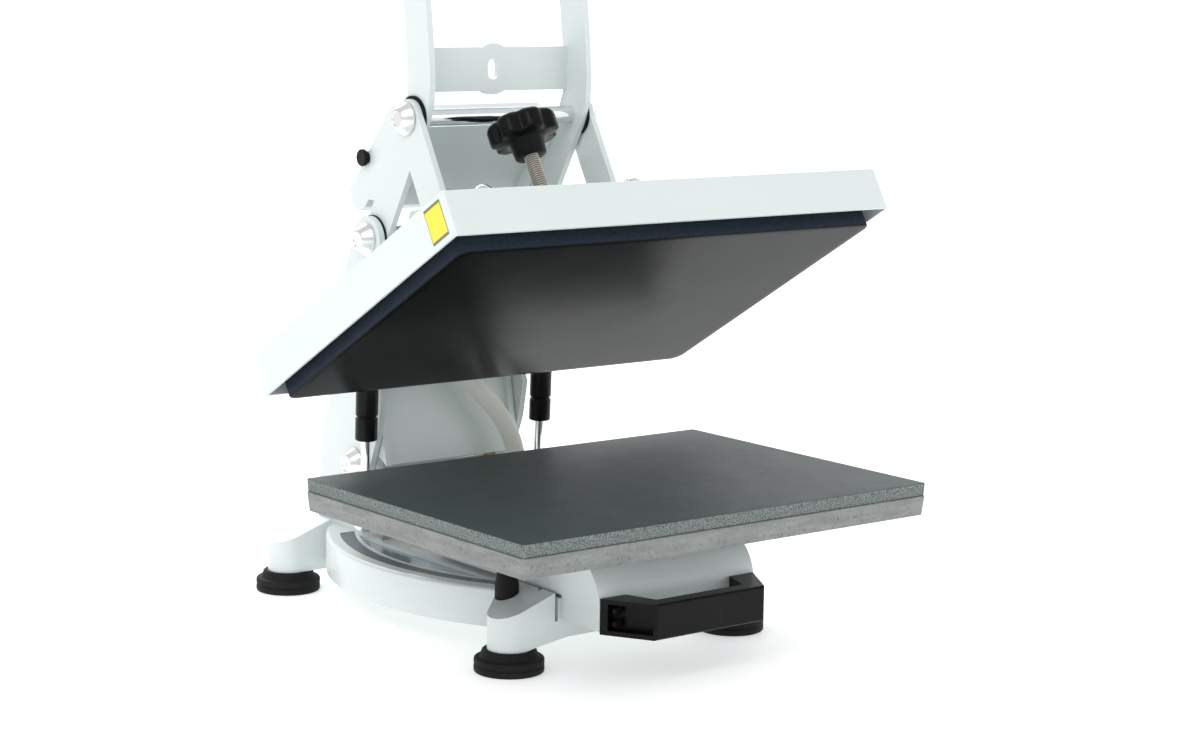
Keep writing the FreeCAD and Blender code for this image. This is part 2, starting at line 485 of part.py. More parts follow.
# ---- upper platen and its spindle, drawn shut ----
def platen_parts():
    block = rounded_slab(HEATER_W, HEATER_D, HEATER_CORNER, 0, HEATER_Y, HEATER_Z, HEATER_Z + HEATER_T)
    block = block.makeFillet(1.5, edges_at_z(block, HEATER_Z))
    pieces["heat_platen"] = swung_open(block)
    mat = box(-HEATER_W / 2 + 4, HEATER_W / 2 - 4, HEATER_Y - HEATER_D / 2 + 4, HEATER_Y + HEATER_D / 2 - 4,
              HEATER_Z + HEATER_T, cover_top - SHEET_T)
    pieces["insulation_mat"] = swung_open(mat)
    skin = box(-cover_x, cover_x, cover_front, cover_rear, cover_low, cover_top)
    skin = skin.makeFillet(3.0, upright_edges(skin))
    skin = skin.makeFillet(2.4, edges_at_z(skin, cover_top))
    room = box(-cover_x + SHEET_T, cover_x - SHEET_T, cover_front + SHEET_T, cover_rear - SHEET_T,
               cover_low - 1, cover_top - SHEET_T)
    outlet = Part.makeCylinder(SLEEVE_R + 2.5, 20, V(-8, cover_rear - 10, 26), V(0, 1, 0))
    pieces["platen_cover"] = swung_open(skin.cut([room, outlet]))
    mount = box(-88, 88, -30, 36, cover_top, cover_top + 6)
    cup = cyl_z(0, HEATER_Y, 13, cover_top + 6, cover_top + 13)
    mount = joined([mount, cup]).cut(cyl_z(0, HEATER_Y, 6.0 + RUN_GAP, cover_top + 3, cover_top + 20))
    mount = mount.cut([cyl_z(s * GUIDE_X, GUIDE_Y, GUIDE_R, cover_top - 1, cover_top + 20) for s in (-1, 1)])
    pieces["platen_mount_plate"] = swung_open(mount)
    guides = []
    for s in (-1, 1):
        rod = cyl_z(s * GUIDE_X, GUIDE_Y, GUIDE_R, cover_top, 94)
        ball = Part.makeSphere(9.5, V(s * GUIDE_X, GUIDE_Y, 91)).common(box(-100, 100, -60, 60, 91, 110))
        head = joined([cyl_z(s * GUIDE_X, GUIDE_Y, 9.5, 88, 91), ball])
        guides.append(joined([rod, head]))
    pieces["guide_rods"] = swung_open(Part.makeCompound(guides))
    spindle = cyl_z(0, HEATER_Y, 6.0, cover_top + 3, 150)
    pieces["pressure_spindle"] = swung_open(spindle.makeChamfer(1.0, edges_at_z(spindle, cover_top + 3)))
    pieces["pressure_knob"] = swung_open(pressure_knob())


KNOB_R, KNOB_LOBES, KNOB_LOW = 28.0, 7, 131.0


def pressure_knob():
    """Lobed knob: a round disc with scallops cut between the lobes, on a round hub."""
    disc = cyl_z(0, HEATER_Y, KNOB_R, KNOB_LOW + 14, KNOB_LOW + 32)
    disc = disc.makeFillet(6.0, edges_at_z(disc, KNOB_LOW + 32))
    scallops = []
    for i in range(KNOB_LOBES):
        a = 2 * pi * (i + 0.5) / KNOB_LOBES
        scallops.append(cyl_z((KNOB_R + 5) * cos(a), HEATER_Y + (KNOB_R + 5) * sin(a), 8.0, 100, 200))
    dish = cyl_z(0, HEATER_Y, 21, KNOB_LOW + 13, KNOB_LOW + 24)
    disc = disc.cut(scallops + [dish])
    hub = Part.makeCone(12.5, 14.0, 26, V(0, HEATER_Y, KNOB_LOW))
    return joined([disc, hub]).cut(cyl_z(0, HEATER_Y, 6.0, KNOB_LOW - 1, 150))


# ---- lever and links, drawn open ----
def lever_parts():
    x0, x1 = -LEVER_OUT, -LEVER_OUT + PLATE_T
    path = [(LEVER_Y, LEVER_Z), (KNEE_Y, KNEE_Z), (154.5, 278), (153.5, 294), (156, 322), (160.5, 356),
            (GRIP_Y, GRIP_Z)]
    plate = side_bar(path, BAR_W, x0, x1)
    plate = plate.cut([cyl_x(LEVER_Y, LEVER_Z, SHAFT_R + RUN_GAP, -100, 0),
                       cyl_x(KNEE_Y, KNEE_Z, KNEE_R, -100, 0), cyl_x(GRIP_Y, GRIP_Z, 6, -100, 0)])
    pieces["lever_plate_left"] = plate
    pieces["lever_plate_right"] = mirrored(plate)
    pieces["knee_shaft"] = cyl_x(KNEE_Y, KNEE_Z, KNEE_R, -LINK_OUT, LINK_OUT)
    knee_cap = cap(KNEE_Y, KNEE_Z, LINK_OUT + 0.3)
    pieces["knee_caps"] = both_sides(knee_cap)
    washer = cyl_x(KNEE_Y, KNEE_Z, 17.5, -LINK_OUT + PLATE_T + 0.3, -LEVER_OUT)
    washer = washer.cut(cyl_x(KNEE_Y, KNEE_Z, KNEE_R, -100, 0))
    pieces["knee_washers"] = both_sides(washer)
    inner = LEVER_OUT - PLATE_T
    cross = box(-inner, inner, PLATE_Y - 2.5, PLATE_Y + 2.5, PLATE_Z - 17, PLATE_Z + 17)
    boss = Part.makeCylinder(20, 5, V(0, PLATE_Y - 2.5, PLATE_Z), V(0, 1, 0))
    slot = Part.makeCylinder(5, 20, V(0, 160, PLATE_Z - 3), V(0, 1, 0))
    slot = joined([slot, Part.makeCylinder(5, 20, V(0, 160, PLATE_Z + 3), V(0, 1, 0)),
                   box(-5, 5, 160, 180, PLATE_Z - 3, PLATE_Z + 3)])
    pieces["lever_cross_plate"] = joined([cross, boss]).cut(slot)
    pieces["handle_bar"] = cyl_x(GRIP_Y, GRIP_Z, 6, -LEVER_OUT - 3, LEVER_OUT + 3)
    grip = cyl_x(GRIP_Y, GRIP_Z, GRIP_R, -inner + 0.5, inner - 0.5)
    grip = grip.makeFillet(3, [e for e in grip.Edges if e.Length < 100 and e.Length > 90])
    pieces["handle_grip"] = grip.cut(cyl_x(GRIP_Y, GRIP_Z, 6, -100, 100))
    control_box()
    x0, x1 = -LINK_OUT, -LINK_OUT + PLATE_T
    link = side_bar([(KNEE_Y, KNEE_Z), (link_low_y, link_low_z)], BAR_W, x0, x1)
    link = link.cut([cyl_x(KNEE_Y, KNEE_Z, KNEE_R + RUN_GAP, -100, 0),
                     cyl_x(link_low_y, link_low_z, KNEE_R, -100, 0)])
    pieces["link_left"] = link
    pieces["link_right"] = mirrored(link)
    pin = cyl_x(link_low_y, link_low_z, KNEE_R, -LINK_OUT, -SWING_OUT - 1)
    pin_cap = cap(link_low_y, link_low_z, LINK_OUT)
    pieces["link_pins"] = both_sides(joined([pin, pin_cap]))


BOX_X, BOX_T = 70.0, 2.5
BOX_TOP_Y, BOX_TOP_Z, BOX_END_Y, BOX_END_Z = 202.0, 272.0, 262.0, 201.0
BREAKER_Y, BREAKER_Z = 237.6, 228.6
BUTTON_R = 5.0


def box_outline(inset):
    """Side outline of the control box: display face behind, bent face in front."""
    return [(186 + inset, 264 - inset), (BOX_TOP_Y - 0.4 * inset, BOX_TOP_Z - 1.2 * inset),
            (BOX_END_Y - 1.3 * inset, BOX_END_Z), (258 - inset, 190 + inset), (248, 185 + inset),
            (240, 189 + inset), (195 + inset, 240)]


def on_display(along, across, depth):
    """A point by its distance down the display face, across it and above it."""
    length = hypot(BOX_END_Y - BOX_TOP_Y, BOX_END_Z - BOX_TOP_Z)
    dy, dz = (BOX_END_Y - BOX_TOP_Y) / length, (BOX_END_Z - BOX_TOP_Z) / length
    return V(across, BOX_TOP_Y + dy * along - dz * depth, BOX_TOP_Z + dz * along + dy * depth)


def display_block(u0, u1, x0, x1, d0, d1):
    corners = [on_display(u0, x0, d0), on_display(u1, x0, d0), on_display(u1, x1, d0), on_display(u0, x1, d0)]
    face = Part.Face(Part.makePolygon(corners + corners[:1]))
    return face.extrude(on_display(0, 0, d1) - on_display(0, 0, d0))


def display_round(along, across, r, d0, d1):
    foot = on_display(along, across, d0)
    way = on_display(along, across, d1) - foot
    return Part.makeCylinder(r, way.Length, foot, way)


def control_box():
    shell = side_polygon(box_outline(0), -BOX_X, BOX_X)
    shell = shell.makeFillet(3.0, [e for e in shell.Edges if abs(e.tangentAt(e.FirstParameter).x) > 0.99])
    room = side_polygon(box_outline(BOX_T), -BOX_X + BOX_T, BOX_X - BOX_T)
    window = display_block(7, 86, -58, 58, -8, 3)
    tab = side_polygon([(176, 252), (192, 262), (214, 232), (232, 214), (232, 196), (214, 196), (186, 236)],
                       -LEVER_OUT + PLATE_T, -BOX_X)
    shell = shell.cut([room, window, cyl_x(BREAKER_Y, BREAKER_Z, 5.2, -80, -60)])
    pieces["control_box"] = joined([shell, tab, mirrored(tab)])
    panel = display_block(7.3, 85.7, -57.7, 57.7, -2.5, 0.8)
    screen = display_block(14, 46, -40, 40, -1.5, 2)
    panel = panel.cut([screen] + [display_round(66, x, BUTTON_R + 0.3, -5, 5) for x in (-30, 0, 30)])
    pieces["control_panel"] = panel
    pieces["display_window"] = display_block(14, 46, -40, 40, -1.5, 0.6)
    for name, x in (("button_down", -30), ("button_set", 0), ("button_up", 30)):
        button = display_round(66, x, BUTTON_R, -5.0, 2.2)
        pieces[name] = button.makeFillet(0.6, [e for e in button.Edges
                                               if len(e.Vertexes) == 1][:2])
    pieces["circuit_board"] = display_block(12, 80, -52, 52, -8.6, -7.0)
    knob = cyl_x(BREAKER_Y, BREAKER_Z, 5.0, -BOX_X - 5, -BOX_X + 6)
    rim = cyl_x(BREAKER_Y, BREAKER_Z, 6.8, -BOX_X - 5.5, -BOX_X - 2.5)
    button = joined([knob, rim])
    pieces["breaker_button"] = button.makeFillet(1.0, [e for e in button.Edges
                                                       if all(abs(v.X + BOX_X + 5.5) < 1e-6 for v in e.Vertexes)])


# ---- gas springs ----
def spring_parts():
    length = hypot(SPRING_TOP_Y - SPRING_LOW_Y, SPRING_TOP_Z - SPRING_LOW_Z)
    lean = degrees(atan2(SPRING_TOP_Z - SPRING_LOW_Z, SPRING_TOP_Y - SPRING_LOW_Y)) - 90
    tube_low = 65.0

    def placed(shape):
        shape.rotate(V(0, 0, 0), AXIS_X, lean)
        shape.translate(V(0, SPRING_LOW_Y, SPRING_LOW_Z))
        return shape

    x = -SPRING_X
    tube = cyl_z(x, 0, SPRING_TUBE_R, tube_low, length - 5)
    groove = cyl_z(x, 0, SPRING_TUBE_R + 1, tube_low + 19, tube_low + 20.5)
    groove = groove.cut(cyl_z(x, 0, SPRING_TUBE_R - 1.2, tube_low, length))
    tube = tube.cut([groove, cyl_z(x, 0, SPRING_ROD_R + RUN_GAP, tube_low - 1, length - 14)])
    eye = cyl_x(0, length, 9, x - 7, x + 7)
    pieces["gas_spring_tubes"] = both_sides(placed(joined([tube, eye])))
    rod = cyl_z(x, 0, SPRING_ROD_R, 5, length - 42)
    end = cyl_x(0, 0, 8, x - 6, x + 6).cut(cyl_x(0, 0, 4 + RUN_GAP, x + 0, x + 7))
    end = end.cut(cyl_x(0, 0, 4 + RUN_GAP, -100, 0))
    rod = rod.cut(cyl_x(0, 0, 4 + RUN_GAP, -100, 0))
    pieces["gas_spring_rods"] = both_sides(placed(joined([end, rod])))


# ---- heater lead in its woven sleeve ----
SLEEVE_ROUTE = [(-8.0, 182.0, 72.0), (-3.0, 198.0, 61.0), (12.0, 204.0, 43.0), (34.0, 201.0, 22.0),
                (49.0, 197.0, -6.0), (53.0, 196.0, -40.0), (53.0, 196.0, -74.7)]


def bent_tube(route, r):
    """Tube of straight runs joined by tangent arcs, and its arc radii."""
    points = [V(*p) for p in route]
    lines, radii = [], []
    start = points[0]
    for a, b, c in zip(points, points[1:], points[2:]):
        back, ahead = (a - b), (c - b)
        shorter = min(back.Length, ahead.Length)
        u, w = back.normalize(), ahead.normalize()
        half_turn = (pi - u.getAngle(w)) / 2
        reach = 0.45 * shorter
        radius = reach / tan(half_turn)
        p0, p1 = b + u * reach, b + w * reach
        bisector = (u + w).normalize()
        middle = b + bisector * (sqrt(radius ** 2 + reach ** 2) - radius)
        lines += [Part.LineSegment(start, p0).toShape(), Part.Arc(p0, middle, p1).toShape()]
        radii.append(radius)
        start = p1
    lines.append(Part.LineSegment(start, points[-1]).toShape())
    path = Part.Wire(lines)
    ring = Part.Wire([Part.makeCircle(r, points[0], points[1] - points[0])])
    tube = path.makePipeShell([ring], True, True)
    print("sleeve radii", [round(q, 1) for q in radii], "length", round(path.Length, 1),
          "volume ratio", round(tube.Volume / (pi * r * r * path.Length), 4))
    return tube


def write_all():
    base_parts()
    tower_parts()
    drawer_parts()
    swing_parts()
    platen_parts()
    lever_parts()
    spring_parts()
    pieces["heater_sleeve"] = bent_tube(SLEEVE_ROUTE, SLEEVE_R)
    whole = FreeCAD.BoundBox()
    for shape in pieces.values():
        whole.add(shape.optimalBoundingBox())
    shift = V(-whole.Center.x, -whole.Center.y, -whole.ZMin)
    print("box", round(whole.XLength, 2), round(whole.YLength, 2), round(whole.ZLength, 2),
          "shift", [round(q, 3) for q in (shift.x, shift.y, shift.z)], "nodes", len(pieces))
    os.makedirs("parts", exist_ok=True)
    for name, shape in pieces.items():
        moved = shape.copy()
        moved.translate(shift)
        moved.exportStep("parts/" + name + ".step")


write_all()
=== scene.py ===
"""Looks of a clamshell heat press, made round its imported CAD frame.

Metres throughout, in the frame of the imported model: X to the right, Y to the back, Z up.
"""
import json
import math

import bmesh
import bpy
import numpy as np
from mathutils import Matrix, Vector


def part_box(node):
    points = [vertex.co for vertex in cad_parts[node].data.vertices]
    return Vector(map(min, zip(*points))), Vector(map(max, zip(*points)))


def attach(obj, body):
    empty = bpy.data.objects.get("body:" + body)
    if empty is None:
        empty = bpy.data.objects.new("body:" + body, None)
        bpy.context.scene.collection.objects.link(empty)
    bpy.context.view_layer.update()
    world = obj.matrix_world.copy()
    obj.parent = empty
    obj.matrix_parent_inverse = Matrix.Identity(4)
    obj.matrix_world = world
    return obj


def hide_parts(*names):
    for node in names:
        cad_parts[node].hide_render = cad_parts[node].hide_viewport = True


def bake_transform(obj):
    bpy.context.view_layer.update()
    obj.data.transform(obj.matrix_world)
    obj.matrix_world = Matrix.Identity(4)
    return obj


bl_info = {
    "name": "Heat press looks",
    "version": (1, 0, 0),
    "blender": (4, 5, 0),
    "location": "3D View > Sidebar > Heat Press",
    "description": "Finishes and detailed pieces for a clamshell heat press",
    "category": "Object",
}

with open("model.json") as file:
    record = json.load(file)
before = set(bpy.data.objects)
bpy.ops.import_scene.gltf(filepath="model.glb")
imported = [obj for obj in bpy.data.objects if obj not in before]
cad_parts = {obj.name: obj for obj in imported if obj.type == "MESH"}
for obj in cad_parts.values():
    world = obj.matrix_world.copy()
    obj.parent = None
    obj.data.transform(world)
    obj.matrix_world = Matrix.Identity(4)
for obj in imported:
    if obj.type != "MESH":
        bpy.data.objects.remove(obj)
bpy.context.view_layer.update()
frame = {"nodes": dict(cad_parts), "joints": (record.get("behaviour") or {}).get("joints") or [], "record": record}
JOINTS = {joint["name"]: joint for joint in frame["joints"]}
MM = 0.001
RIGHT = np.array([1.0, 0.0, 0.0])
BACK = np.array([0.0, 1.0, 0.0])
UP = np.array([0.0, 0.0, 1.0])
WELD = 1e-6                                 # points nearer than this are one point
PLATEN_UP = np.array(JOINTS["platen_lift"]["axis"], float)
PLATEN_BACK = np.cross(PLATEN_UP, RIGHT)
KNOB_CENTRE = np.array(JOINTS["pressure_knob_turn"]["pos_m"], float)

PAD_EDGE, PAD_DRAFT = 0.0006, 0.8 * MM
PLATE_CORNER, PLATE_EDGE, PLATE_DRAFT = 4 * MM, 0.0009, 2 * MM
PLATEN_CORNER, PLATEN_EDGE = 0.010, 0.0016
KNOB_LOBES, KNOB_SIDES = 7, 224
THREAD_SIDES, THREAD_DEPTH = 28, 0.62       # depth as a share of the pitch
FRONT_FOOT_X, REAR_FOOT_X, FOOT_RADIUS = 107 * MM, 108 * MM, 26 * MM
BUMPER_RADIUS = 9 * MM
GRIP_RIB_PITCH, GRIP_RIB_DEPTH = 3 * MM, 0.35 * MM
SPRING_RADIUS, SPRING_LENGTH = 9 * MM, 78.5 * MM
POCKET_RADIUS, POCKET_CENTRE, POCKET_INNER = 193 * MM, 92 * MM, 79.5 * MM
SLEEVE_SIDES = 36
SLEEVE_YARNS, YARN_TURNS = 18, 390.0        # yarns round the sleeve, and waves per metre


# ---------------------------------------------------------------- settings
class PressColours(bpy.types.PropertyGroup):
    powder: bpy.props.FloatVectorProperty(
        name="Powder coat", description="White coat of the sheet metal", subtype="COLOR",
        size=4, min=0, max=1, default=(0.69, 0.745, 0.73, 1))
    pad: bpy.props.FloatVectorProperty(
        name="Silicone pad", description="Top face of the silicone foam pad", subtype="COLOR",
        size=4, min=0, max=1, default=(0.062, 0.078, 0.078, 1))
    platen: bpy.props.FloatVectorProperty(
        name="Platen casting", description="Rough cast sides of the heated platen", subtype="COLOR",
        size=4, min=0, max=1, default=(0.020, 0.027, 0.038, 1))
    sleeve: bpy.props.FloatVectorProperty(
        name="Woven sleeve", description="Glass-fibre sleeve of the heater lead", subtype="COLOR",
        size=4, min=0, max=1, default=(0.90, 0.91, 0.83, 1))
    label: bpy.props.FloatVectorProperty(
        name="Label", description="Plain sticker on the cover", subtype="COLOR",
        size=4, min=0, max=1, default=(0.90, 0.72, 0.01, 1))
    floor: bpy.props.FloatVectorProperty(
        name="Floor", description="Floor and backdrop", subtype="COLOR",
        size=4, min=0, max=1, default=(0.93, 0.93, 0.93, 1))


class PressSizes(bpy.types.PropertyGroup):
    pad_corner: bpy.props.FloatProperty(
        name="Pad corner", description="Corner radius of the pad", unit="LENGTH", default=0.0025)
    knob_depth: bpy.props.FloatProperty(
        name="Knob scallop", description="Depth of the knob's scallops", unit="LENGTH", default=0.0048)
    thread_pitch: bpy.props.FloatProperty(
        name="Thread pitch", description="Pitch of the pressure spindle", unit="LENGTH", default=0.00175)
    sleeve_width: bpy.props.FloatProperty(
        name="Sleeve width", description="Diameter of the woven sleeve", unit="LENGTH", default=0.015)
    label_length: bpy.props.FloatProperty(
        name="Label length", description="Length of the cover's sticker", unit="LENGTH", default=0.021)
    camera_lens: bpy.props.FloatProperty(
        name="Lens", description="Focal length for a 36 mm wide sensor, in millimetres", default=78.73)


def colours():
    return bpy.context.scene.press_colours


def sizes():
    return bpy.context.scene.press_sizes


# ---------------------------------------------------------------- materials
class Sock:
    """One output socket of a material, with arithmetic that adds Math nodes."""

    def __init__(self, paint, socket):
        self.paint, self.socket = paint, socket

    def _maths(self, operation, a, b=None):
        values = {0: a} if b is None else {0: a, 1: b}
        return self.paint.node("ShaderNodeMath", {"operation": operation}, values)

    def __add__(self, other):
        return self._maths("ADD", self, other)

    __radd__ = __add__

    def __mul__(self, other):
        return self._maths("MULTIPLY", self, other)

    __rmul__ = __mul__

    def __sub__(self, other):
        return self._maths("SUBTRACT", self, other)

    def __rsub__(self, other):
        return self._maths("SUBTRACT", other, self)

    def power(self, other):
        return self._maths("POWER", self, other)

    def sine(self):
        return self._maths("SINE", self)

    def size(self):
        return self._maths("ABSOLUTE", self)

    def above(self, edge, softness):
        """0 below the edge and 1 above it, with a soft step between."""
        return self.paint.node("ShaderNodeMapRange", {"interpolation_type": "SMOOTHSTEP", "clamp": True},
                               {0: self, 1: edge - softness, 2: edge + softness})


class Paint:
    """A material under construction: nodes are added by type, settings and socket values."""

    def __init__(self, name, roughness=0.5, metallic=0.0, **fixed):
        self.material = bpy.data.materials.new(name)
        self.material.use_nodes = True
        self.tree = self.material.node_tree
        self.tree.nodes.clear()
        self.out = self.tree.nodes.new("ShaderNodeOutputMaterial")
        self.shader = self.tree.nodes.new("ShaderNodeBsdfPrincipled")
        self.tree.links.new(self.shader.outputs[0], self.out.inputs[0])
        self.set("Roughness", roughness)
        self.set("Metallic", metallic)
        for key, value in fixed.items():
            self.set(key.replace("_", " "), value)

    def node(self, kind, settings=None, inputs=None, output=0):
        """A node with its settings and inputs given, as the Sock of one of its outputs."""
        made = self.tree.nodes.new(kind)
        for key, value in (settings or {}).items():
            setattr(made, key, value)
        for key, value in (inputs or {}).items():
            self.feed(made.inputs[key], value)
        return Sock(self, made.outputs[output])

    def feed(self, socket, value):
        if isinstance(value, Sock):
            self.tree.links.new(value.socket, socket)
        else:
            socket.default_value = value

    def set(self, name, value):
        self.feed(self.shader.inputs[name], value)
        return self

    def place(self):
        return self.node("ShaderNodeTexCoord", output="Object")

    def stretched(self, scale):
        """Object coordinates drawn out along the directions whose scale is large."""
        return self.node("ShaderNodeMapping", {"vector_type": "TEXTURE"},
                         {"Vector": self.place(), "Scale": scale})

    def noise(self, scale, detail=3.0, rough=0.5, vector=None):
        return self.node("ShaderNodeTexNoise", {}, {"Vector": vector or self.place(), "Scale": scale,
                                                    "Detail": detail, "Roughness": rough})

    def cells(self, scale, feature="F1"):
        return self.node("ShaderNodeTexVoronoi", {"feature": feature},
                         {"Vector": self.place(), "Scale": scale})

    def attribute(self, name):
        return self.node("ShaderNodeAttribute", {"attribute_name": name}, output="Fac")

    def mix(self, factor, a, b):
        """Colour a where the factor is 0 and colour b where it is 1."""
        return self.node("ShaderNodeMix", {"data_type": "RGBA"}, {0: factor, 6: a, 7: b}, 2)

    def bump(self, height, distance, strength=1.0):
        made = self.node("ShaderNodeBump", {}, {"Height": height, "Distance": distance, "Strength": strength})
        return self.set("Normal", made)


def shade(colour, factor):
    """The same colour, lighter or darker."""
    return tuple(min(1.0, c * factor) for c in colour[:3]) + (1.0,)


def powder_coat():
    """Smooth white powder coat: orange-peel waves and a faint change of tone."""
    paint = Paint("white_powder_coat", Coat_Weight=0.25, Coat_Roughness=0.18)
    base = tuple(colours().powder)
    cloud = paint.noise(9.0, 2.0)
    paint.set("Base Color", paint.mix(cloud, shade(base, 0.965), shade(base, 1.03)))
    paint.set("Roughness", paint.noise(60.0, 3.0) * 0.10 + 0.30)
    peel = paint.noise(850.0, 2.0)
    return paint.bump(peel, 0.00008, 0.5).material


def dark_strip():
    """Satin dark grey inlay with a fine moulded grain."""
    paint = Paint("dark_strip", Coat_Weight=0.1)
    paint.set("Base Color", paint.mix(paint.noise(40.0), (0.085, 0.10, 0.125, 1), (0.12, 0.135, 0.16, 1)))
    paint.set("Roughness", paint.noise(300.0) * 0.15 + 0.36)
    return paint.bump(paint.cells(1800.0), 0.0001, 0.4).material


def rubber():
    """Matt black rubber with a dusty bloom and fine grain."""
    paint = Paint("black_rubber", Specular_IOR_Level=0.18)
    tone = 0.008
    dust = paint.noise(35.0, 6.0, 0.65).power(3.0)
    paint.set("Base Color", paint.mix(dust, (tone, tone, tone * 1.1, 1), (tone * 3, tone * 3, tone * 3.2, 1)))
    paint.set("Roughness", paint.noise(120.0) * 0.2 + 0.55)
    return paint.bump(paint.noise(1500.0, 4.0), 0.00012, 0.6).material


def zinc_steel():
    """Zinc-plated steel: cloudy brightness and fine scratches."""
    paint = Paint("zinc_steel", metallic=1.0)
    cloud = paint.noise(55.0, 5.0, 0.6)
    paint.set("Base Color", paint.mix(cloud, (0.50, 0.49, 0.46, 1), (0.74, 0.74, 0.72, 1)))
    scratches = paint.noise(400.0, 3.0, 0.6, paint.stretched((0.05, 1.0, 1.0)))
    paint.set("Roughness", scratches * 0.25 + 0.20)
    return paint.bump(scratches, 0.00004, 0.5).material


def threaded_steel():
    """Spindle steel: bright crests, and painted shade that turns the thread roots dark brown."""
    paint = Paint("threaded_steel", metallic=0.85)
    # Painted shade: this mask is 1 in the thread roots, where the colour turns dark brown.
    root_shade = paint.attribute("root_shade")
    crest = paint.mix(paint.noise(300.0, 4.0), (0.62, 0.58, 0.50, 1), (0.86, 0.83, 0.76, 1))
    paint.set("Base Color", paint.mix(root_shade, crest, (0.085, 0.065, 0.045, 1)))
    return paint.set("Roughness", root_shade * 0.25 + 0.24).material


def turned_aluminium():
    """Lathe-turned aluminium: rings that follow the distance from the piece's own axis."""
    paint = Paint("turned_aluminium", metallic=1.0)
    rings = (paint.attribute("ring") * 15000.0).sine() * 0.5 + 0.5
    wander = paint.noise(900.0, 3.0)
    groove = rings * 0.7 + wander * 0.3
    paint.set("Base Color", paint.mix(paint.noise(70.0), (0.66, 0.66, 0.65, 1), (0.86, 0.86, 0.85, 1)))
    paint.set("Roughness", groove * 0.14 + 0.17)
    return paint.bump(groove, 0.00003, 0.5).material


def milled_aluminium():
    """Cast plate with a sawn rim: fine upright scratches, grey oxide bands and small dark pits."""
    paint = Paint("bare_aluminium", metallic=0.35, Specular_IOR_Level=0.4)
    marks = paint.noise(1100.0, 5.0, 0.7, paint.stretched((0.25, 0.25, 1.0)))
    bands = paint.noise(130.0, 5.0, 0.6, paint.stretched((6.0, 6.0, 1.0)))
    oxide = paint.noise(38.0, 6.0, 0.65)
    pits = paint.noise(420.0, 6.0, 0.7).above(0.60, 0.05)
    bright = paint.mix(marks, (0.15, 0.16, 0.158, 1), (0.45, 0.47, 0.465, 1))
    tone = paint.mix(oxide * 0.5, bright, (0.20, 0.20, 0.185, 1))
    tone = paint.mix(bands.above(0.50, 0.12) * 0.35, tone, (0.13, 0.13, 0.13, 1))
    paint.set("Base Color", paint.mix(pits * 0.5, tone, (0.07, 0.07, 0.07, 1)))
    paint.set("Roughness", marks * 0.25 + 0.34)
    return paint.bump(marks + bands * 0.5 - pits * 0.6, 0.0004, 0.8).material


def chrome():
    """Polished rod with a faint haze."""
    paint = Paint("chrome", metallic=1.0)
    paint.set("Base Color", paint.mix(paint.noise(90.0, 4.0), (0.70, 0.72, 0.74, 1), (0.84, 0.86, 0.88, 1)))
    return paint.set("Roughness", paint.noise(200.0, 3.0) * 0.08 + 0.05).material


def moulded_black(name, low, high, gloss):
    """Moulded black plastic: fine spark-eroded grain with pale scuffs."""
    paint = Paint(name, Specular_IOR_Level=0.12, Coat_Weight=gloss * 0.04, Coat_Roughness=0.12)
    scuff = paint.noise(45.0, 7.0, 0.7).above(0.66, 0.10)
    paint.set("Base Color", paint.mix(scuff * 0.25, (low, low, low * 1.12, 1), (high, high, high, 1)))
    paint.set("Roughness", paint.noise(500.0) * 0.16 + (0.42 - 0.18 * gloss))
    return paint.bump(paint.cells(2400.0), 0.00010, 0.5).material


def bronze():
    """Sintered bronze bush with open pores."""
    paint = Paint("bronze", metallic=1.0, roughness=0.4)
    pores = paint.cells(3000.0).above(0.28, 0.08)
    paint.set("Base Color", paint.mix(pores, (0.25, 0.16, 0.07, 1), (0.66, 0.47, 0.24, 1)))
    return paint.bump(pores, 0.00006).material


def platen_coating():
    """Heated platen: rough blue-grey cast sides and a smooth black coated face."""
    paint = Paint("platen_coating", Specular_IOR_Level=0.035)
    side = paint.attribute("side")
    tone = tuple(colours().platen)
    cast = paint.noise(420.0, 6.0, 0.7)
    grains = paint.cells(650.0)
    rough_tone = paint.mix(cast, shade(tone, 0.5), shade(tone, 1.9))
    face_tone = paint.mix(paint.noise(14.0, 4.0), (0.0025, 0.0029, 0.0032, 1), (0.0065, 0.0070, 0.0072, 1))
    paint.set("Base Color", paint.mix(side, face_tone, rough_tone))
    paint.set("Roughness", side * (cast * 0.25 + 0.18) + paint.noise(25.0, 5.0) * 0.12 + 0.16)
    relief = (cast * 0.7 + grains * 0.5) * side + paint.noise(1600.0) * 0.05
    return paint.bump(relief, 0.0006, 0.8).material


def ceramic_mat():
    """Needled ceramic-fibre blanket."""
    paint = Paint("insulation", roughness=0.95)
    strands = paint.noise(240.0, 8.0, 0.75)
    paint.set("Base Color", paint.mix(strands, (0.62, 0.59, 0.50, 1), (0.88, 0.86, 0.80, 1)))
    return paint.bump(strands, 0.0008).material


def silicone():
    """Closed-cell silicone foam: a matt skin on top, cut and speckled round the rim."""
    paint = Paint("silicone", Specular_IOR_Level=0.25)
    side = paint.attribute("side")
    tone = tuple(colours().pad)
    cells = paint.cells(520.0)
    specks = paint.noise(1000.0, 5.0, 0.75)
    rim = paint.mix(specks.above(0.5, 0.12), shade(tone, 0.9), (0.27, 0.30, 0.285, 1))
    skin = paint.mix(paint.noise(22.0, 5.0, 0.6), shade(tone, 0.85), shade(tone, 1.2))
    dust = paint.noise(900.0, 2.0).above(0.70, 0.03)
    skin = paint.mix(dust * 0.35, skin, (0.30, 0.33, 0.33, 1))
    paint.set("Base Color", paint.mix(side, skin, rim))
    paint.set("Roughness", side * 0.22 + paint.noise(60.0, 4.0) * 0.12 + 0.44)
    relief = (specks * 0.8 - cells * 0.5) * side + paint.noise(1300.0, 3.0) * 0.25
    return paint.bump(relief, 0.0004, 0.6).material


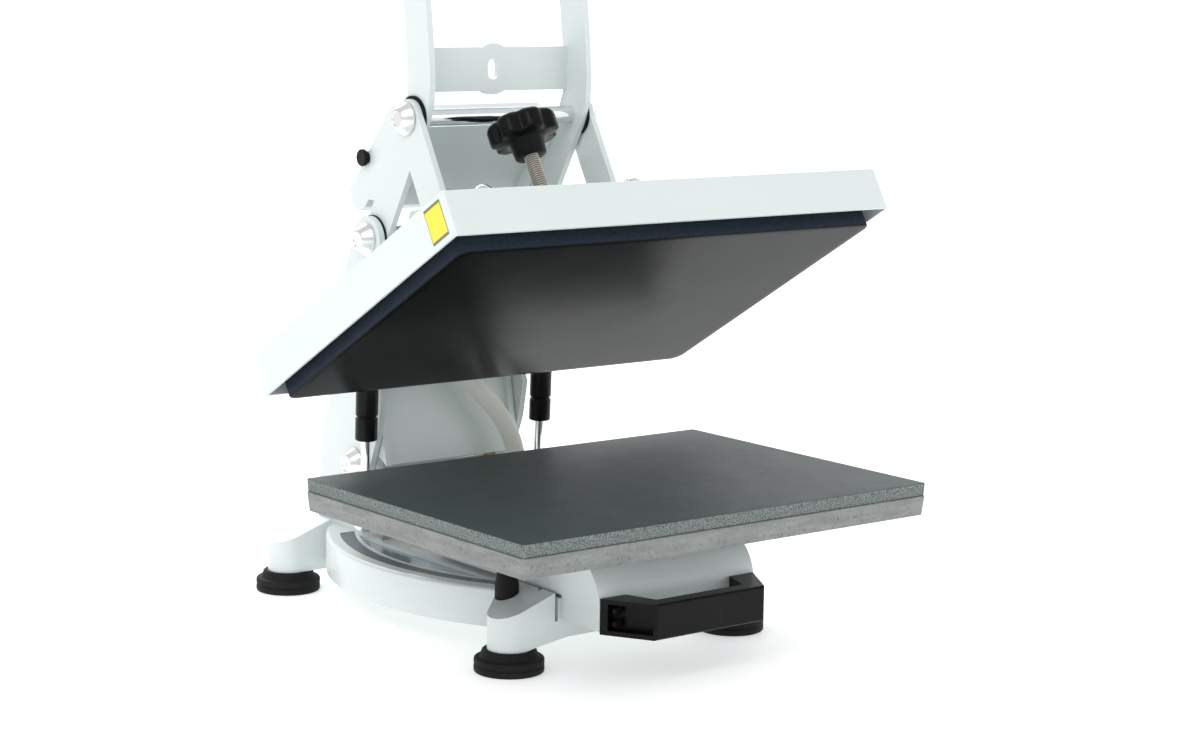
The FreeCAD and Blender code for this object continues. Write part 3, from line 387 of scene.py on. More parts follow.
def woven_sleeve():
    """Braided glass fibre: two families of yarns wind round the tube in opposite ways."""
    paint = Paint("woven_sleeve", Specular_IOR_Level=0.3, Sheen_Weight=0.25)
    uv = paint.node("ShaderNodeTexCoord", output="UV")
    split = paint.node("ShaderNodeSeparateXYZ", {}, {0: uv})
    along = Sock(paint, split.socket.node.outputs[1])
    turn = 2 * math.pi
    left = ((split * SLEEVE_YARNS + along * YARN_TURNS) * turn).sine()
    right = ((split * SLEEVE_YARNS - along * YARN_TURNS) * turn).sine()
    over = ((split * SLEEVE_YARNS * turn).sine() * (along * YARN_TURNS * turn).sine()).above(0.0, 0.12)
    height = (left * over + right * (1 - over)) * 0.5 + 0.5
    fibre = paint.noise(2600.0, 4.0, 0.7)
    tone = tuple(colours().sleeve)
    paint.set("Base Color", paint.mix(height * 0.8 + fibre * 0.2, shade(tone, 0.80), shade(tone, 1.1)))
    paint.set("Roughness", fibre * 0.15 + 0.72)
    return paint.bump(height + fibre * 0.2, 0.0003).material


def printed_panel():
    """Printed overlay of the control box with a fine satin grain."""
    paint = Paint("panel_grey", Coat_Weight=0.15)
    paint.set("Base Color", paint.mix(paint.noise(25.0), (0.05, 0.06, 0.08, 1), (0.07, 0.08, 0.105, 1)))
    paint.set("Roughness", paint.noise(900.0) * 0.1 + 0.38)
    return paint.bump(paint.noise(2500.0), 0.00005).material


def display_window():
    """Unlit display behind a clear window: faint green cells."""
    paint = Paint("display_glass", Coat_Weight=1.0, Coat_Roughness=0.03)
    paint.set("Base Color", paint.mix(paint.cells(900.0), (0.040, 0.060, 0.045, 1), (0.075, 0.10, 0.075, 1)))
    return paint.set("Roughness", paint.noise(80.0) * 0.08 + 0.08).material


def circuit_green():
    """Green board lacquer with paler tracks along the edges of its cells."""
    paint = Paint("board_green", Coat_Weight=0.3)
    tracks = paint.cells(220.0, feature="DISTANCE_TO_EDGE").above(0.08, 0.02)
    paint.set("Base Color", paint.mix(tracks, (0.10, 0.32, 0.15, 1), (0.02, 0.13, 0.06, 1)))
    return paint.set("Roughness", paint.noise(200.0) * 0.1 + 0.35).material


def pocket_metal():
    """Bright silver-blue plate at the bottom of the base's side pockets."""
    paint = Paint("pocket_metal", metallic=0.75)
    brushed = paint.noise(700.0, 4.0, 0.6, paint.stretched((1.0, 0.04, 1.0)))
    paint.set("Base Color", paint.mix(brushed, (0.36, 0.43, 0.50, 1), (0.55, 0.62, 0.68, 1)))
    paint.set("Roughness", brushed * 0.12 + 0.16)
    return paint.bump(brushed, 0.00003).material


def label_paper():
    """Plain coloured vinyl sticker with a dark outline."""
    paint = Paint("label_vinyl", Coat_Weight=0.5, Coat_Roughness=0.15)
    tone = tuple(colours().label)
    uv = paint.node("ShaderNodeTexCoord", output="UV")
    split = paint.node("ShaderNodeSeparateXYZ", {}, {0: uv})
    across = Sock(paint, split.socket.node.outputs[1])
    rim = ((split - 0.5).size() * 2).above(0.94, 0.01) + ((across - 0.5).size() * 2).above(0.84, 0.02)
    rim = rim.above(0.5, 0.1)
    mottled = paint.mix(paint.noise(180.0, 4.0), shade(tone, 0.9), shade(tone, 1.05))
    paint.set("Base Color", paint.mix(rim * 0.85, mottled, (0.03, 0.03, 0.03, 1)))
    return paint.set("Roughness", paint.noise(90.0) * 0.1 + 0.34).material


FINISHES = {}


def make_finishes():
    """Every finish of the press, under the name of its slot."""
    FINISHES.update({
        "white_powder_coat": powder_coat(), "dark_strip": dark_strip(), "black_rubber": rubber(),
        "zinc_steel": zinc_steel(), "threaded_steel": threaded_steel(),
        "turned_aluminium": turned_aluminium(), "bare_aluminium": milled_aluminium(), "chrome": chrome(),
        "black_nylon": moulded_black("black_nylon", 0.006, 0.04, 0.2),
        "black_plastic": moulded_black("black_plastic", 0.0035, 0.018, 0.9),
        "spring_black": moulded_black("spring_black", 0.005, 0.02, 1.5),
        "bronze": bronze(), "platen_coating": platen_coating(), "insulation": ceramic_mat(),
        "silicone": silicone(), "woven_sleeve": woven_sleeve(), "panel_grey": printed_panel(),
        "display_glass": display_window(), "board_green": circuit_green(),
        "pocket_metal": pocket_metal(), "label_vinyl": label_paper(),
    })


# ---------------------------------------------------------------- surfaces
def grid_quads(index):
    """Square faces between the neighbours of a grid of point numbers."""
    corners = [index[:-1, :-1], index[1:, :-1], index[1:, 1:], index[:-1, 1:]]
    return np.stack(corners, -1).reshape(-1, 4)


def piece(name, points, body, slot_name, replaced=(), closed=(True, False), finish=None,
          values=None, uv=None):
    """A mesh from a grid of points: neighbours in both directions make a square face.

    closed says whether the last row or column joins the first. Rows that shrink to a point are
    merged, so poles are shut. values are floats kept on the points, uv a map kept on the corners.
    """
    rows, columns = points.shape[:2]
    mesh = bpy.data.meshes.new(name)
    index = np.arange(rows * columns).reshape(rows, columns)
    index = np.concatenate([index, index[:1]], 0) if closed[0] else index
    index = np.concatenate([index, index[:, :1]], 1) if closed[1] else index
    quads = grid_quads(index)
    mesh.from_pydata(points.reshape(-1, 3), [], quads)
    for key, array in (values or {}).items():
        made = mesh.attributes.new(key, "FLOAT", "POINT")
        made.data.foreach_set("value", np.ascontiguousarray(array, np.float32).ravel())
    if uv is not None:
        layer = mesh.uv_layers.new(name="UVMap")
        layer.data.foreach_set("uv", np.ascontiguousarray(uv(quads), np.float32).ravel())
    work = bmesh.new()
    work.from_mesh(mesh)
    bmesh.ops.remove_doubles(work, verts=work.verts, dist=WELD)
    bmesh.ops.recalc_face_normals(work, faces=work.faces)
    work.to_mesh(mesh)
    work.free()
    mesh.shade_smooth()
    made = bpy.data.objects.new(name, mesh)
    bpy.context.scene.collection.objects.link(made)
    made.data.materials.append(FINISHES[finish or slot_name])
    if body:
        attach(made, body)
    if replaced:
        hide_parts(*replaced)
    return made


def sharpen(made, degrees=40):
    """Keep edges crisp where the surface turns by more than the angle."""
    made.data.set_sharp_from_angle(angle=math.radians(degrees))
    return made


def merged(name, parts, replaced=()):
    """Several pieces of one finish on one body, as one piece."""
    first = parts[0]
    bpy.ops.object.select_all(action="DESELECT")
    for part in parts:
        part.select_set(True)
    bpy.context.view_layer.objects.active = first
    bpy.ops.object.join()
    first.name = name
    if replaced:
        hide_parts(*replaced)
    return first


def rounded_outline(width, depth, corner, steps=14):
    """Points round a rectangle with quarter-circle corners, and the outward directions there."""
    angle = np.linspace(0, math.pi / 2, steps)
    points, ways = [], []
    for quarter, (sx, sy) in enumerate([(1, 1), (-1, 1), (-1, -1), (1, -1)]):
        turn = angle + quarter * math.pi / 2
        way = np.stack([np.cos(turn), np.sin(turn)], -1)
        middle = np.array([sx * (width / 2 - corner), sy * (depth / 2 - corner)])
        points.append(middle + corner * way)
        ways.append(way)
    return np.concatenate(points), np.concatenate(ways)


def slab_surface(width, depth, corner, low, high, edge, centre, right, back, up, draft=0.0):
    """A slab with round corners and rolled edges.

    The outline is carried through a profile: out along the underside, round a quarter circle of
    the edge radius, up the side, round again and back in along the top. The draft draws the
    underside in, in proportion to the depth below the top. side is 1 on the rim.
    """
    outline, ways = rounded_outline(width, depth, corner)
    turn = np.linspace(0, math.pi / 2, 6)
    inset = np.concatenate([edge * (1 - np.sin(turn)), np.zeros(turn.size),
                            edge * (1 - np.cos(turn))])
    level = np.concatenate([low + edge * (1 - np.cos(turn)), np.linspace(low + edge, high - edge, 6),
                            high - edge + edge * np.sin(turn)])
    shrink = np.concatenate([[0.0, 0.5, 0.97], np.ones(len(inset)), [0.97, 0.5, 0.0]])
    inset = np.concatenate([[edge] * 3, inset, [edge] * 3])
    level = np.concatenate([[low] * 3, level, [high] * 3])
    inset = inset + draft * (high - level) / (high - low)
    flat = (outline[None] - inset[:, None, None] * ways[None]) * shrink[:, None, None]
    points = (centre + flat[..., :1] * right + flat[..., 1:] * back + level[:, None, None] * up)
    rim = np.clip((level - low) / edge, 0, 1) * np.clip((high - level) / edge, 0, 1)
    rim = np.where(shrink < 1, 0.0, rim)
    side = np.repeat(rim[:, None], outline.shape[0], 1)
    return points, side


def lathe(profile, foot, way, steps=64, wave=None):
    """A profile of radius and height turned about an axis. wave changes the radius by angle."""
    way = np.array(way, float) / np.linalg.norm(way)
    across = np.cross(way, [0.0, 0.0, 1.0] if abs(way[2]) < 0.9 else [1.0, 0.0, 0.0])
    across /= np.linalg.norm(across)
    other = np.cross(way, across)
    radius, height = np.array(profile, float).T
    angle = np.linspace(0, 2 * math.pi, steps, endpoint=False)
    r = np.repeat(radius[:, None], steps, 1)
    if wave is not None:
        r = wave(r, angle[None, :], height[:, None])
    points = (np.array(foot, float) + (r * np.cos(angle))[..., None] * across
              + (r * np.sin(angle))[..., None] * other + height[:, None, None] * way)
    ring = np.repeat(radius[:, None], steps, 1) + np.abs(height[:, None]) * 0.35
    return points, ring


def arc_points(centre_r, centre_h, radius, start, end, count=6):
    """Points of a circular arc in a profile, by angles in degrees."""
    turn = np.radians(np.linspace(start, end, count))
    return [(centre_r + radius * math.cos(t), centre_h + radius * math.sin(t)) for t in turn]


def node_box(name):
    """Lowest and highest corner of a CAD node's box."""
    low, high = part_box(name)
    return np.array(low), np.array(high)


def pad_and_plates():
    """The silicone pad and the plate below it, each a slab with its sides drawn in downwards."""
    low, high = node_box("silicone_pad")
    size, centre = high - low, (high + low) / 2
    flat = np.array([centre[0], centre[1], 0.0])
    points, side = slab_surface(size[0], size[1], sizes().pad_corner, low[2], high[2], PAD_EDGE, flat,
                                RIGHT, BACK, UP, PAD_DRAFT)
    piece("pad_foam", points, "drawer", "silicone", ["silicone_pad"], (False, True), values={"side": side})
    low, high = node_box("lower_platen")
    size = high - low
    points, side = slab_surface(size[0], size[1], PLATE_CORNER, low[2], high[2], PLATE_EDGE, flat,
                                RIGHT, BACK, UP, PLATE_DRAFT)
    piece("lower_plate", points, "drawer", "bare_aluminium", ["lower_platen"], (False, True),
          values={"side": side})


def platen_corners(node):
    """Extent of an upper-platen node measured along the tilted platen's own directions."""
    mesh = frame["nodes"][node].data
    co = np.zeros(len(mesh.vertices) * 3, np.float32)
    mesh.vertices.foreach_get("co", co)
    co = co.reshape(-1, 3)
    axes = np.stack([RIGHT, PLATEN_BACK, PLATEN_UP])
    along = co @ axes.T
    return along.min(0), along.max(0), axes


def heated_platen():
    """The cast platen: a slab that stands square to the lift's direction."""
    low, high, axes = platen_corners("heat_platen")
    centre = np.array([(low[0] + high[0]) / 2, (low[1] + high[1]) / 2]) @ axes[:2]
    points, side = slab_surface(high[0] - low[0], high[1] - low[1], PLATEN_CORNER, low[2], high[2],
                                PLATEN_EDGE, centre, RIGHT, PLATEN_BACK, PLATEN_UP)
    piece("platen_casting", points, "upper_platen", "platen_coating", ["heat_platen"], (False, True),
          values={"side": side})


def knob_profile(height, radius):
    """Half section of the knob: a narrow neck, a wide rim and a sunk top."""
    rim = height * 0.44
    shell = [(0, 0.3 * MM), (6 * MM, 0.3 * MM), (11.5 * MM, 0)]
    shell += [(12.5 * MM, 0.8 * MM), (13.8 * MM, rim - 1.5 * MM), (15.5 * MM, rim), (22 * MM, rim + 0.3 * MM)]
    shell += arc_points(radius - 2 * MM, rim + 2.5 * MM, 2 * MM, -80, 0)
    shell += arc_points(radius - 6 * MM, height - 6 * MM, 6 * MM, 0, 84, 10)
    shell += [(14 * MM, height + 0.2 * MM), (9 * MM, height - 0.1 * MM), (8.4 * MM, height - 0.9 * MM)]
    return shell + [(4 * MM, height - 1.1 * MM), (0, height - 1.1 * MM)]


def pressure_knob():
    """The knob's half section turned about the spindle, with scallops cut into its rim."""
    low, high, _ = platen_corners("pressure_knob")
    foot = KNOB_CENTRE + PLATEN_UP * (low[2] - KNOB_CENTRE @ PLATEN_UP)
    height = high[2] - low[2] - 0.2 * MM
    radius = (high[0] - low[0]) / 2
    depth = sizes().knob_depth

    def lobes(r, angle, level):
        """The radius dips in narrow scallops, more the nearer it is to the rim."""
        reach = np.clip((r - 0.55 * radius) / (0.45 * radius), 0, 1)
        return r - depth * reach * (0.5 - 0.5 * np.cos(KNOB_LOBES * angle)) ** 2.2

    points, _ = lathe(knob_profile(height, radius), foot, PLATEN_UP, KNOB_SIDES, lobes)
    made = piece("knob_moulding", points, "pressure_screw", "black_plastic", ["pressure_knob"],
                 (False, True))
    sharpen(made, 50)


def pressure_spindle():
    """Threaded rod: the radius follows a triangle wave of height, shifted by the angle."""
    low, high, _ = platen_corners("pressure_spindle")
    length = high[2] - low[2]
    foot = KNOB_CENTRE + PLATEN_UP * (low[2] - KNOB_CENTRE @ PLATEN_UP)
    radius, pitch = (high[0] - low[0]) / 2, sizes().thread_pitch
    levels = np.linspace(0, length, int(length / pitch * 8))
    profile = [(0, 0)] + [(radius, h) for h in levels] + [(0, length)]

    def thread(r, angle, level):
        phase = (level / pitch - angle / (2 * math.pi)) % 1.0
        cut = THREAD_DEPTH * pitch * np.abs(2 * phase - 1)
        return np.where(r > 0, r - cut, 0)

    points, _ = lathe(profile, foot, PLATEN_UP, THREAD_SIDES, thread)
    heights = np.array(profile)[:, 1:]
    angle = np.linspace(0, 2 * math.pi, THREAD_SIDES, endpoint=False)[None]
    # Painted shade mask: 0 at the thread crests and 1 in the roots, which the finish darkens.
    root_shade = np.abs(2 * ((heights / pitch - angle / (2 * math.pi)) % 1.0) - 1)
    piece("spindle_thread", points, "pressure_screw", "zinc_steel", ["pressure_spindle"], (False, True),
          "threaded_steel", {"root_shade": root_shade})


def cap_profile():
    """Half section of a turned cap: a flange, a cone and a small dished face."""
    cone = [(0, 0), (12.4 * MM, 0), (13 * MM, 0.5 * MM), (13 * MM, 1.8 * MM), (12.6 * MM, 2.3 * MM)]
    face = [(8.0 * MM, 8.7 * MM), (7.5 * MM, 9 * MM), (6.2 * MM, 9 * MM), (5.7 * MM, 8.6 * MM)]
    return cone + face + [(5.4 * MM, 8.2 * MM), (1.2 * MM, 8.2 * MM), (0.8 * MM, 7.6 * MM), (0, 7.6 * MM)]


def capped(name, body, node, places):
    """Turned caps on both sides, at each place's height and depth and out at its face."""
    parts = []
    for y, z, face_x in places:
        for side in (-1, 1):
            points, ring = lathe(cap_profile(), (side * face_x, y, z), (side, 0, 0))
            parts.append(sharpen(piece("cap_part", points, body, "turned_aluminium", (), (False, True),
                                       values={"ring": ring}), 35))
    merged(name, parts, [node])


def pivot_caps():
    """Caps on the main hinge, the lever's pivot and the knee."""
    hinge, lever = JOINTS["swing_close"]["pos_m"], JOINTS["lever_turn"]["pos_m"]
    knee = JOINTS["link_turn"]["pos_m"]
    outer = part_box("cheek_left")[0][0]
    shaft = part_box("main_hinge_shaft")[1][0]
    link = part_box("link_right")[1][0] + 0.3 * MM
    capped("pivot_cap_set", "base", "pivot_caps", [(*hinge[1:], shaft), (*lever[1:], -outer)])
    capped("knee_cap_set", "lever", "knee_caps", [(*knee[1:], link)])


def rubber_feet():
    """Round feet with a grooved rim, a stepped top and a hollow underneath."""
    low, high = node_box("rubber_feet")
    radius = FOOT_RADIUS
    top = high[2] - low[2]
    profile = [(0, 7 * MM), (8.8 * MM, 7 * MM), (9 * MM, 0.2 * MM), (24 * MM, 0)]
    profile += arc_points(24.4 * MM, 1.6 * MM, 1.6 * MM, -90, 0)
    profile += [(26 * MM, 4.6 * MM), (25.3 * MM, 5.2 * MM), (25.3 * MM, 6.0 * MM), (26 * MM, 6.6 * MM)]
    profile += arc_points(24.2 * MM, 9.2 * MM, 1.8 * MM, 0, 90)
    profile += [(22.2 * MM, 11.2 * MM), (21.6 * MM, 11.8 * MM)]
    profile += [(20.2 * MM, top - 0.8 * MM), (19.2 * MM, top), (0, top)]
    parts = []
    for x in (low[0] + radius, high[0] - radius):
        for y in (low[1] + radius, high[1] - radius):
            place_x = math.copysign(FRONT_FOOT_X if y < 0 else REAR_FOOT_X, x)
            points, _ = lathe(profile, (place_x, y, low[2]), UP, 72)
            parts.append(sharpen(piece("foot_part", points, "base", "black_rubber", (), (False, True)), 35))
    merged("foot_set", parts, ["rubber_feet"])


def front_bumpers():
    """Barrel-shaped rubber buffers with a waist, on the two front legs."""
    low, high = node_box("front_bumpers")
    tall, radius = high[2] - low[2], BUMPER_RADIUS
    profile = [(0, 0), (radius - 0.6 * MM, 0), (radius, 0.8 * MM), (radius, tall * 0.22)]
    profile += [(radius - 1.1 * MM, tall * 0.30), (radius - 1.3 * MM, tall * 0.55)]
    profile += [(radius - 0.7 * MM, tall * 0.72), (radius, tall * 0.78)]
    profile += [(radius, tall - 1.2 * MM), (radius - 1.1 * MM, tall), (0, tall)]
    parts = []
    for x in (low[0] + radius, high[0] - radius):
        points, _ = lathe(profile, (x, (low[1] + high[1]) / 2, low[2]), UP, 48)
        parts.append(sharpen(piece("bumper_part", points, "base", "black_rubber", (), (False, True)), 40))
    merged("bumper_set", parts, ["front_bumpers"])


def handle_grip():
    """Foam grip: a round bar whose radius carries fine ribs and draws in a little at the ends."""
    low, high = node_box("handle_grip")
    length, radius = high[0] - low[0], (high[2] - low[2]) / 2
    along = np.linspace(0, length, 240)
    ribs = GRIP_RIB_DEPTH * (0.5 - 0.5 * np.cos(2 * math.pi * along / GRIP_RIB_PITCH))
    ends = np.clip(np.minimum(along, length - along) / (3 * MM), 0, 1)
    r = (radius - 0.4 * MM) * np.sqrt(1 - (1 - ends) ** 2 * 0.35) - ribs * (ends > 0.99)
    profile = [(6.0 * MM, 0)] + list(zip(r, along)) + [(6.0 * MM, length)]
    points, _ = lathe(profile, (low[0], (low[1] + high[1]) / 2, (low[2] + high[2]) / 2), RIGHT, 56)
    piece("grip_foam", points, "lever", "black_rubber", ["handle_grip"], (False, True))


def gas_spring_tubes():
    """Gas spring cylinders: rolled ends, a swaged groove and a crimped eye on the top."""
    pivot = np.array(JOINTS["gas_tube_turn"]["pos_m"], float)
    way = np.array(JOINTS["gas_rod_slide"]["axis"], float)
    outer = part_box("gas_spring_tubes")[1][0]
    radius, length = SPRING_RADIUS, SPRING_LENGTH
    x = outer - radius
    profile = [(4.1 * MM, 0.4 * MM), (7.2 * MM, 0)] + arc_points(7.4 * MM, 1.6 * MM, 1.6 * MM, -90, 0)
    profile += [(radius, 17.8 * MM), (radius - 1.0 * MM, 18.8 * MM), (radius - 1.0 * MM, 19.8 * MM)]
    profile += [(radius, 20.8 * MM), (radius, length - 6 * MM)]
    profile += arc_points(radius - 3.5 * MM, length - 6 * MM, 3.5 * MM, 0, 80) + [(0, length - 2.4 * MM)]
    parts = []
    for side in (-1, 1):
        foot = pivot * [0, 1, 1] + np.array([side * x, 0, 0]) - way * length
        points, _ = lathe(profile, foot, way, 48)
        parts.append(sharpen(piece("tube_part", points, "gas_tubes", "spring_black", (), (False, True)), 35))
        eye = [(0, -7 * MM), (7.6 * MM, -7 * MM), (8.8 * MM, -6 * MM), (8.8 * MM, 6 * MM), (7.6 * MM, 7 * MM)]
        points, _ = lathe(eye + [(0, 7 * MM)], pivot * [0, 1, 1] + np.array([side * x, 0, 0]), RIGHT, 48)
        parts.append(sharpen(piece("eye_part", points, "gas_tubes", "spring_black", (), (False, True)), 35))
    merged("spring_cylinders", parts, ["gas_spring_tubes"])


SLEEVE_ROUTE = [(-8.0, 90.0, 200.0), (-3.0, 106.0, 189.0), (12.0, 112.0, 171.0), (34.0, 109.0, 150.0),
                (49.0, 105.0, 122.0), (53.0, 104.0, 88.0), (53.0, 104.0, 53.3)]


def sleeve_centreline():
    """Points along the route's own smooth spline."""
    curve = bpy.data.curves.new("sleeve_route", "CURVE")
    curve.dimensions = "3D"
    curve.resolution_u = 24
    spline = curve.splines.new("NURBS")
    spline.points.add(len(SLEEVE_ROUTE) - 1)
    for point, place in zip(spline.points, SLEEVE_ROUTE):
        point.co = (*(c * MM for c in place), 1)
    spline.order_u = 3
    spline.use_endpoint_u = True
    holder = bpy.data.objects.new("sleeve_route", curve)
    bpy.context.scene.collection.objects.link(holder)
    bpy.context.view_layer.update()
    line = bpy.data.meshes.new_from_object(holder)
    path = np.array([v.co for v in line.vertices], float)
    bpy.data.objects.remove(holder)
    return path


def tube_along(path, radius):
    """A round tube on a path: each ring stands square to the path and is carried on untwisted."""
    ways = np.gradient(path, axis=0)
    ways /= np.linalg.norm(ways, axis=1, keepdims=True)
    side = np.cross(ways, RIGHT)
    side /= np.linalg.norm(side, axis=1, keepdims=True)
    other = np.cross(ways, side)
    angle = np.linspace(0, 2 * math.pi, SLEEVE_SIDES + 1)
    return (path[:, None] + radius * (np.cos(angle)[None, :, None] * side[:, None]
                                      + np.sin(angle)[None, :, None] * other[:, None]))


def heater_sleeve():
    """The woven sleeve: a round tube on its route, with the weave's map from its own length."""
    path = sleeve_centreline()
    radius = sizes().sleeve_width / 2
    steps = np.linalg.norm(np.diff(path, axis=0), axis=1)
    reach = np.concatenate([[0], np.cumsum(steps)])
    points = tube_along(path, radius)
    rows, columns = points.shape[:2]
    u = np.repeat(np.linspace(0, 1, columns)[None], rows, 0).ravel()
    v = np.repeat(reach[:, None], columns, 1).ravel()

    def wrap(quads):
        return np.stack([u[quads], v[quads]], -1)

    made = piece("woven_lead", points, None, "woven_sleeve", ["heater_sleeve"], (False, False), uv=wrap)
    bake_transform(made)


def pocket_plates():
    """Plates at the bottom of the side pockets: a straight inner edge and an arc outside."""
    low, high = node_box("arc_inlays")
    middle_y = (low[1] + high[1]) / 2
    radius, centre_x, inner_x = POCKET_RADIUS, POCKET_CENTRE, POCKET_INNER
    level = high[2] - 1.9 * MM
    parts = []
    for side in (-1, 1):
        y = np.linspace(-92 * MM, 92 * MM, 60)
        edge = np.sqrt(radius ** 2 - y ** 2) - centre_x
        across = np.linspace(0, 1, 12)
        x = inner_x + (np.maximum(edge, inner_x + 0.3 * MM) - inner_x)[:, None] * across
        grid = np.stack([side * x, np.repeat((middle_y + y)[:, None], 12, 1), np.full(x.shape, level)], -1)
        parts.append(piece("pocket_part", grid, "base", "dark_strip", (), (False, False), "pocket_metal"))
        if parts[-1].data.polygons[0].normal.z < 0:
            parts[-1].data.flip_normals()
    merged("pocket_plate_set", parts)


def cover_label():
    """Plain sticker on the left side of the cover, near the front."""
    low, _, axes = platen_corners("platen_cover")
    length, tall = sizes().label_length, 26 * MM
    across = np.linspace(0, 1, 14)
    u, v = np.meshgrid(across, across, indexing="ij")
    y, z = low[1] + 6 * MM + u * length, low[2] + 4 * MM + v * tall
    x = np.full(u.shape, low[0] - 0.15 * MM)
    grid = x[..., None] * axes[0] + y[..., None] * axes[1] + z[..., None] * axes[2]
    flat = np.stack([u.ravel(), v.ravel()], -1)
    made = piece("cover_label", grid, "upper_platen", "platen_coating", (), (False, False), "label_vinyl",
                 uv=lambda quads: flat[quads])
    if made.data.polygons[0].normal.x > 0:
        made.data.flip_normals()


# ---------------------------------------------------------------- stage
FLOOR_FRONT, FLOOR_BACK, FLOOR_SIDE, FLOOR_BEND, WALL_TOP = 6.0, 3.0, 7.0, 1.5, 6.0
FLOOR_TURN = 38                             # degrees, towards the camera's azimuth


def backdrop():
    """Pale floor that curves up into a wall: flat, then a quarter circle, then upright."""
    flat = np.linspace(-FLOOR_FRONT, FLOOR_BACK, 24)
    bend = np.linspace(0, math.pi / 2, 20)
    y = np.concatenate([flat, FLOOR_BACK + FLOOR_BEND * np.sin(bend), [FLOOR_BACK + FLOOR_BEND]])
    z = np.concatenate([0 * flat, FLOOR_BEND - FLOOR_BEND * np.cos(bend), [WALL_TOP]])
    x = np.linspace(-FLOOR_SIDE, FLOOR_SIDE, 24)
    turn = math.radians(FLOOR_TURN)
    wide, long = np.meshgrid(x, y, indexing="ij")
    tall = np.repeat(z[None], len(x), 0)
    grid = np.stack([wide * math.cos(turn) + long * math.sin(turn),
                     -wide * math.sin(turn) + long * math.cos(turn), tall], -1)
    mesh = bpy.data.meshes.new("studio_floor")
    index = np.arange(grid.shape[0] * grid.shape[1]).reshape(grid.shape[:2])
    mesh.from_pydata(grid.reshape(-1, 3), [], grid_quads(index))
    mesh.shade_smooth()
    floor = bpy.data.objects.new("studio_floor", mesh)
    bpy.context.scene.collection.objects.link(floor)
    paint = Paint("studio_floor", roughness=0.55, Emission_Color=(1, 1, 1, 1), Emission_Strength=0.40)
    tone = tuple(colours().floor)
    paint.set("Base Color", paint.mix(paint.noise(3.0, 2.0), shade(tone, 0.985), shade(tone, 1.01)))
    floor.data.materials.append(paint.material)


def area_light(name, place, target, size, power):
    """A rectangular lamp at a place, turned to face the target."""
    light = bpy.data.lights.new(name, "AREA")
    light.shape = "RECTANGLE"
    light.size, light.size_y = size
    light.energy = power
    holder = bpy.data.objects.new(name, light)
    holder.location = place
    holder.rotation_euler = (Vector(target) - Vector(place)).to_track_quat("-Z", "Y").to_euler()
    bpy.context.scene.collection.objects.link(holder)


CAMERA_PLACE = (-1.21366, -1.60193, 0.51731)
CAMERA_AZIMUTH, CAMERA_ELEVATION, CAMERA_ROLL = -38.37, 9.133, 0.944


def camera():
    """Camera from an azimuth, an elevation and a small roll, in degrees."""
    az, el = math.radians(CAMERA_AZIMUTH), math.radians(CAMERA_ELEVATION)
    view = Vector((-math.sin(az) * math.cos(el), math.cos(az) * math.cos(el), -math.sin(el)))
    lens = bpy.data.cameras.new("camera")
    lens.lens, lens.sensor_width = sizes().camera_lens, 36.0
    holder = bpy.data.objects.new("camera", lens)
    holder.location = CAMERA_PLACE
    level = view.to_track_quat("-Z", "Y").to_matrix()
    holder.rotation_euler = (level @ Matrix.Rotation(math.radians(CAMERA_ROLL), 3, "Z")).to_euler()
    bpy.context.scene.collection.objects.link(holder)
    bpy.context.scene.camera = holder


SOFTBOXES = [                               # name, place, aim, width and height, watts
    ("key_softbox", (-2.0, -0.9, 2.0), (0, 0, 0.2), (1.4, 1.2), 20),
    ("fill_softbox", (1.8, -1.8, 1.2), (0, 0, 0.2), (1.2, 1.4), 3),
    ("rear_softbox", (0.4, 1.9, 1.9), (0, 0, 0.2), (1.6, 1.0), 26),
    ("front_strip", (0.7, -1.7, 0.05), (0, 0, 0.25), (0.5, 0.9), 2),
]


def daylight():
    """Even pale surroundings and four softboxes."""
    world = bpy.data.worlds.new("studio")
    world.use_nodes = True
    background = world.node_tree.nodes["Background"]
    background.inputs[0].default_value = (0.96, 0.98, 1.0, 1)
    background.inputs[1].default_value = 0.82
    bpy.context.scene.world = world
    bpy.context.scene.view_settings.view_transform = "Standard"
    for softbox in SOFTBOXES:
        area_light(*softbox)


def carried_finishes():
    """Every CAD node that still shows takes the finish of its record slot."""
    slots = {s["node"]: s["material_slot"] for s in frame["record"]["subparts"]}
    for name, made in frame["nodes"].items():
        made.data.materials.clear()
        made.data.materials.append(FINISHES[slots[name]])


# ---------------------------------------------------------------- operators
class PRESS_OT_stage(bpy.types.Operator):
    """Make the floor, the lights and the camera"""
    bl_idname = "press.stage"
    bl_label = "Stage"

    def execute(self, context):
        backdrop()
        daylight()
        camera()
        return {"FINISHED"}


class PRESS_OT_finishes(bpy.types.Operator):
    """Make every material and give the CAD nodes theirs"""
    bl_idname = "press.finishes"
    bl_label = "Finishes"

    def execute(self, context):
        make_finishes()
        carried_finishes()
        return {"FINISHED"}


class PRESS_OT_sleeve(bpy.types.Operator):
    """Make the woven sleeve between the platen and the base"""
    bl_idname = "press.sleeve"
    bl_label = "Heater sleeve"

    def execute(self, context):
        heater_sleeve()
        return {"FINISHED"}


class PRESS_OT_pad(bpy.types.Operator):
    """Make the silicone pad and the plate below it"""
    bl_idname = "press.pad"
    bl_label = "Pad and lower plate"

    def execute(self, context):
        pad_and_plates()
        return {"FINISHED"}


class PRESS_OT_platen(bpy.types.Operator):
    """Make the cast platen with its coated face"""
    bl_idname = "press.platen"
    bl_label = "Heated platen"

    def execute(self, context):
        heated_platen()
        return {"FINISHED"}


class PRESS_OT_knob(bpy.types.Operator):
    """Make the lobed knob"""
    bl_idname = "press.knob"
    bl_label = "Pressure knob"

    def execute(self, context):
        pressure_knob()
        return {"FINISHED"}


class PRESS_OT_spindle(bpy.types.Operator):
    """Make the threaded spindle"""
    bl_idname = "press.spindle"
    bl_label = "Pressure spindle"

    def execute(self, context):
        pressure_spindle()
        return {"FINISHED"}


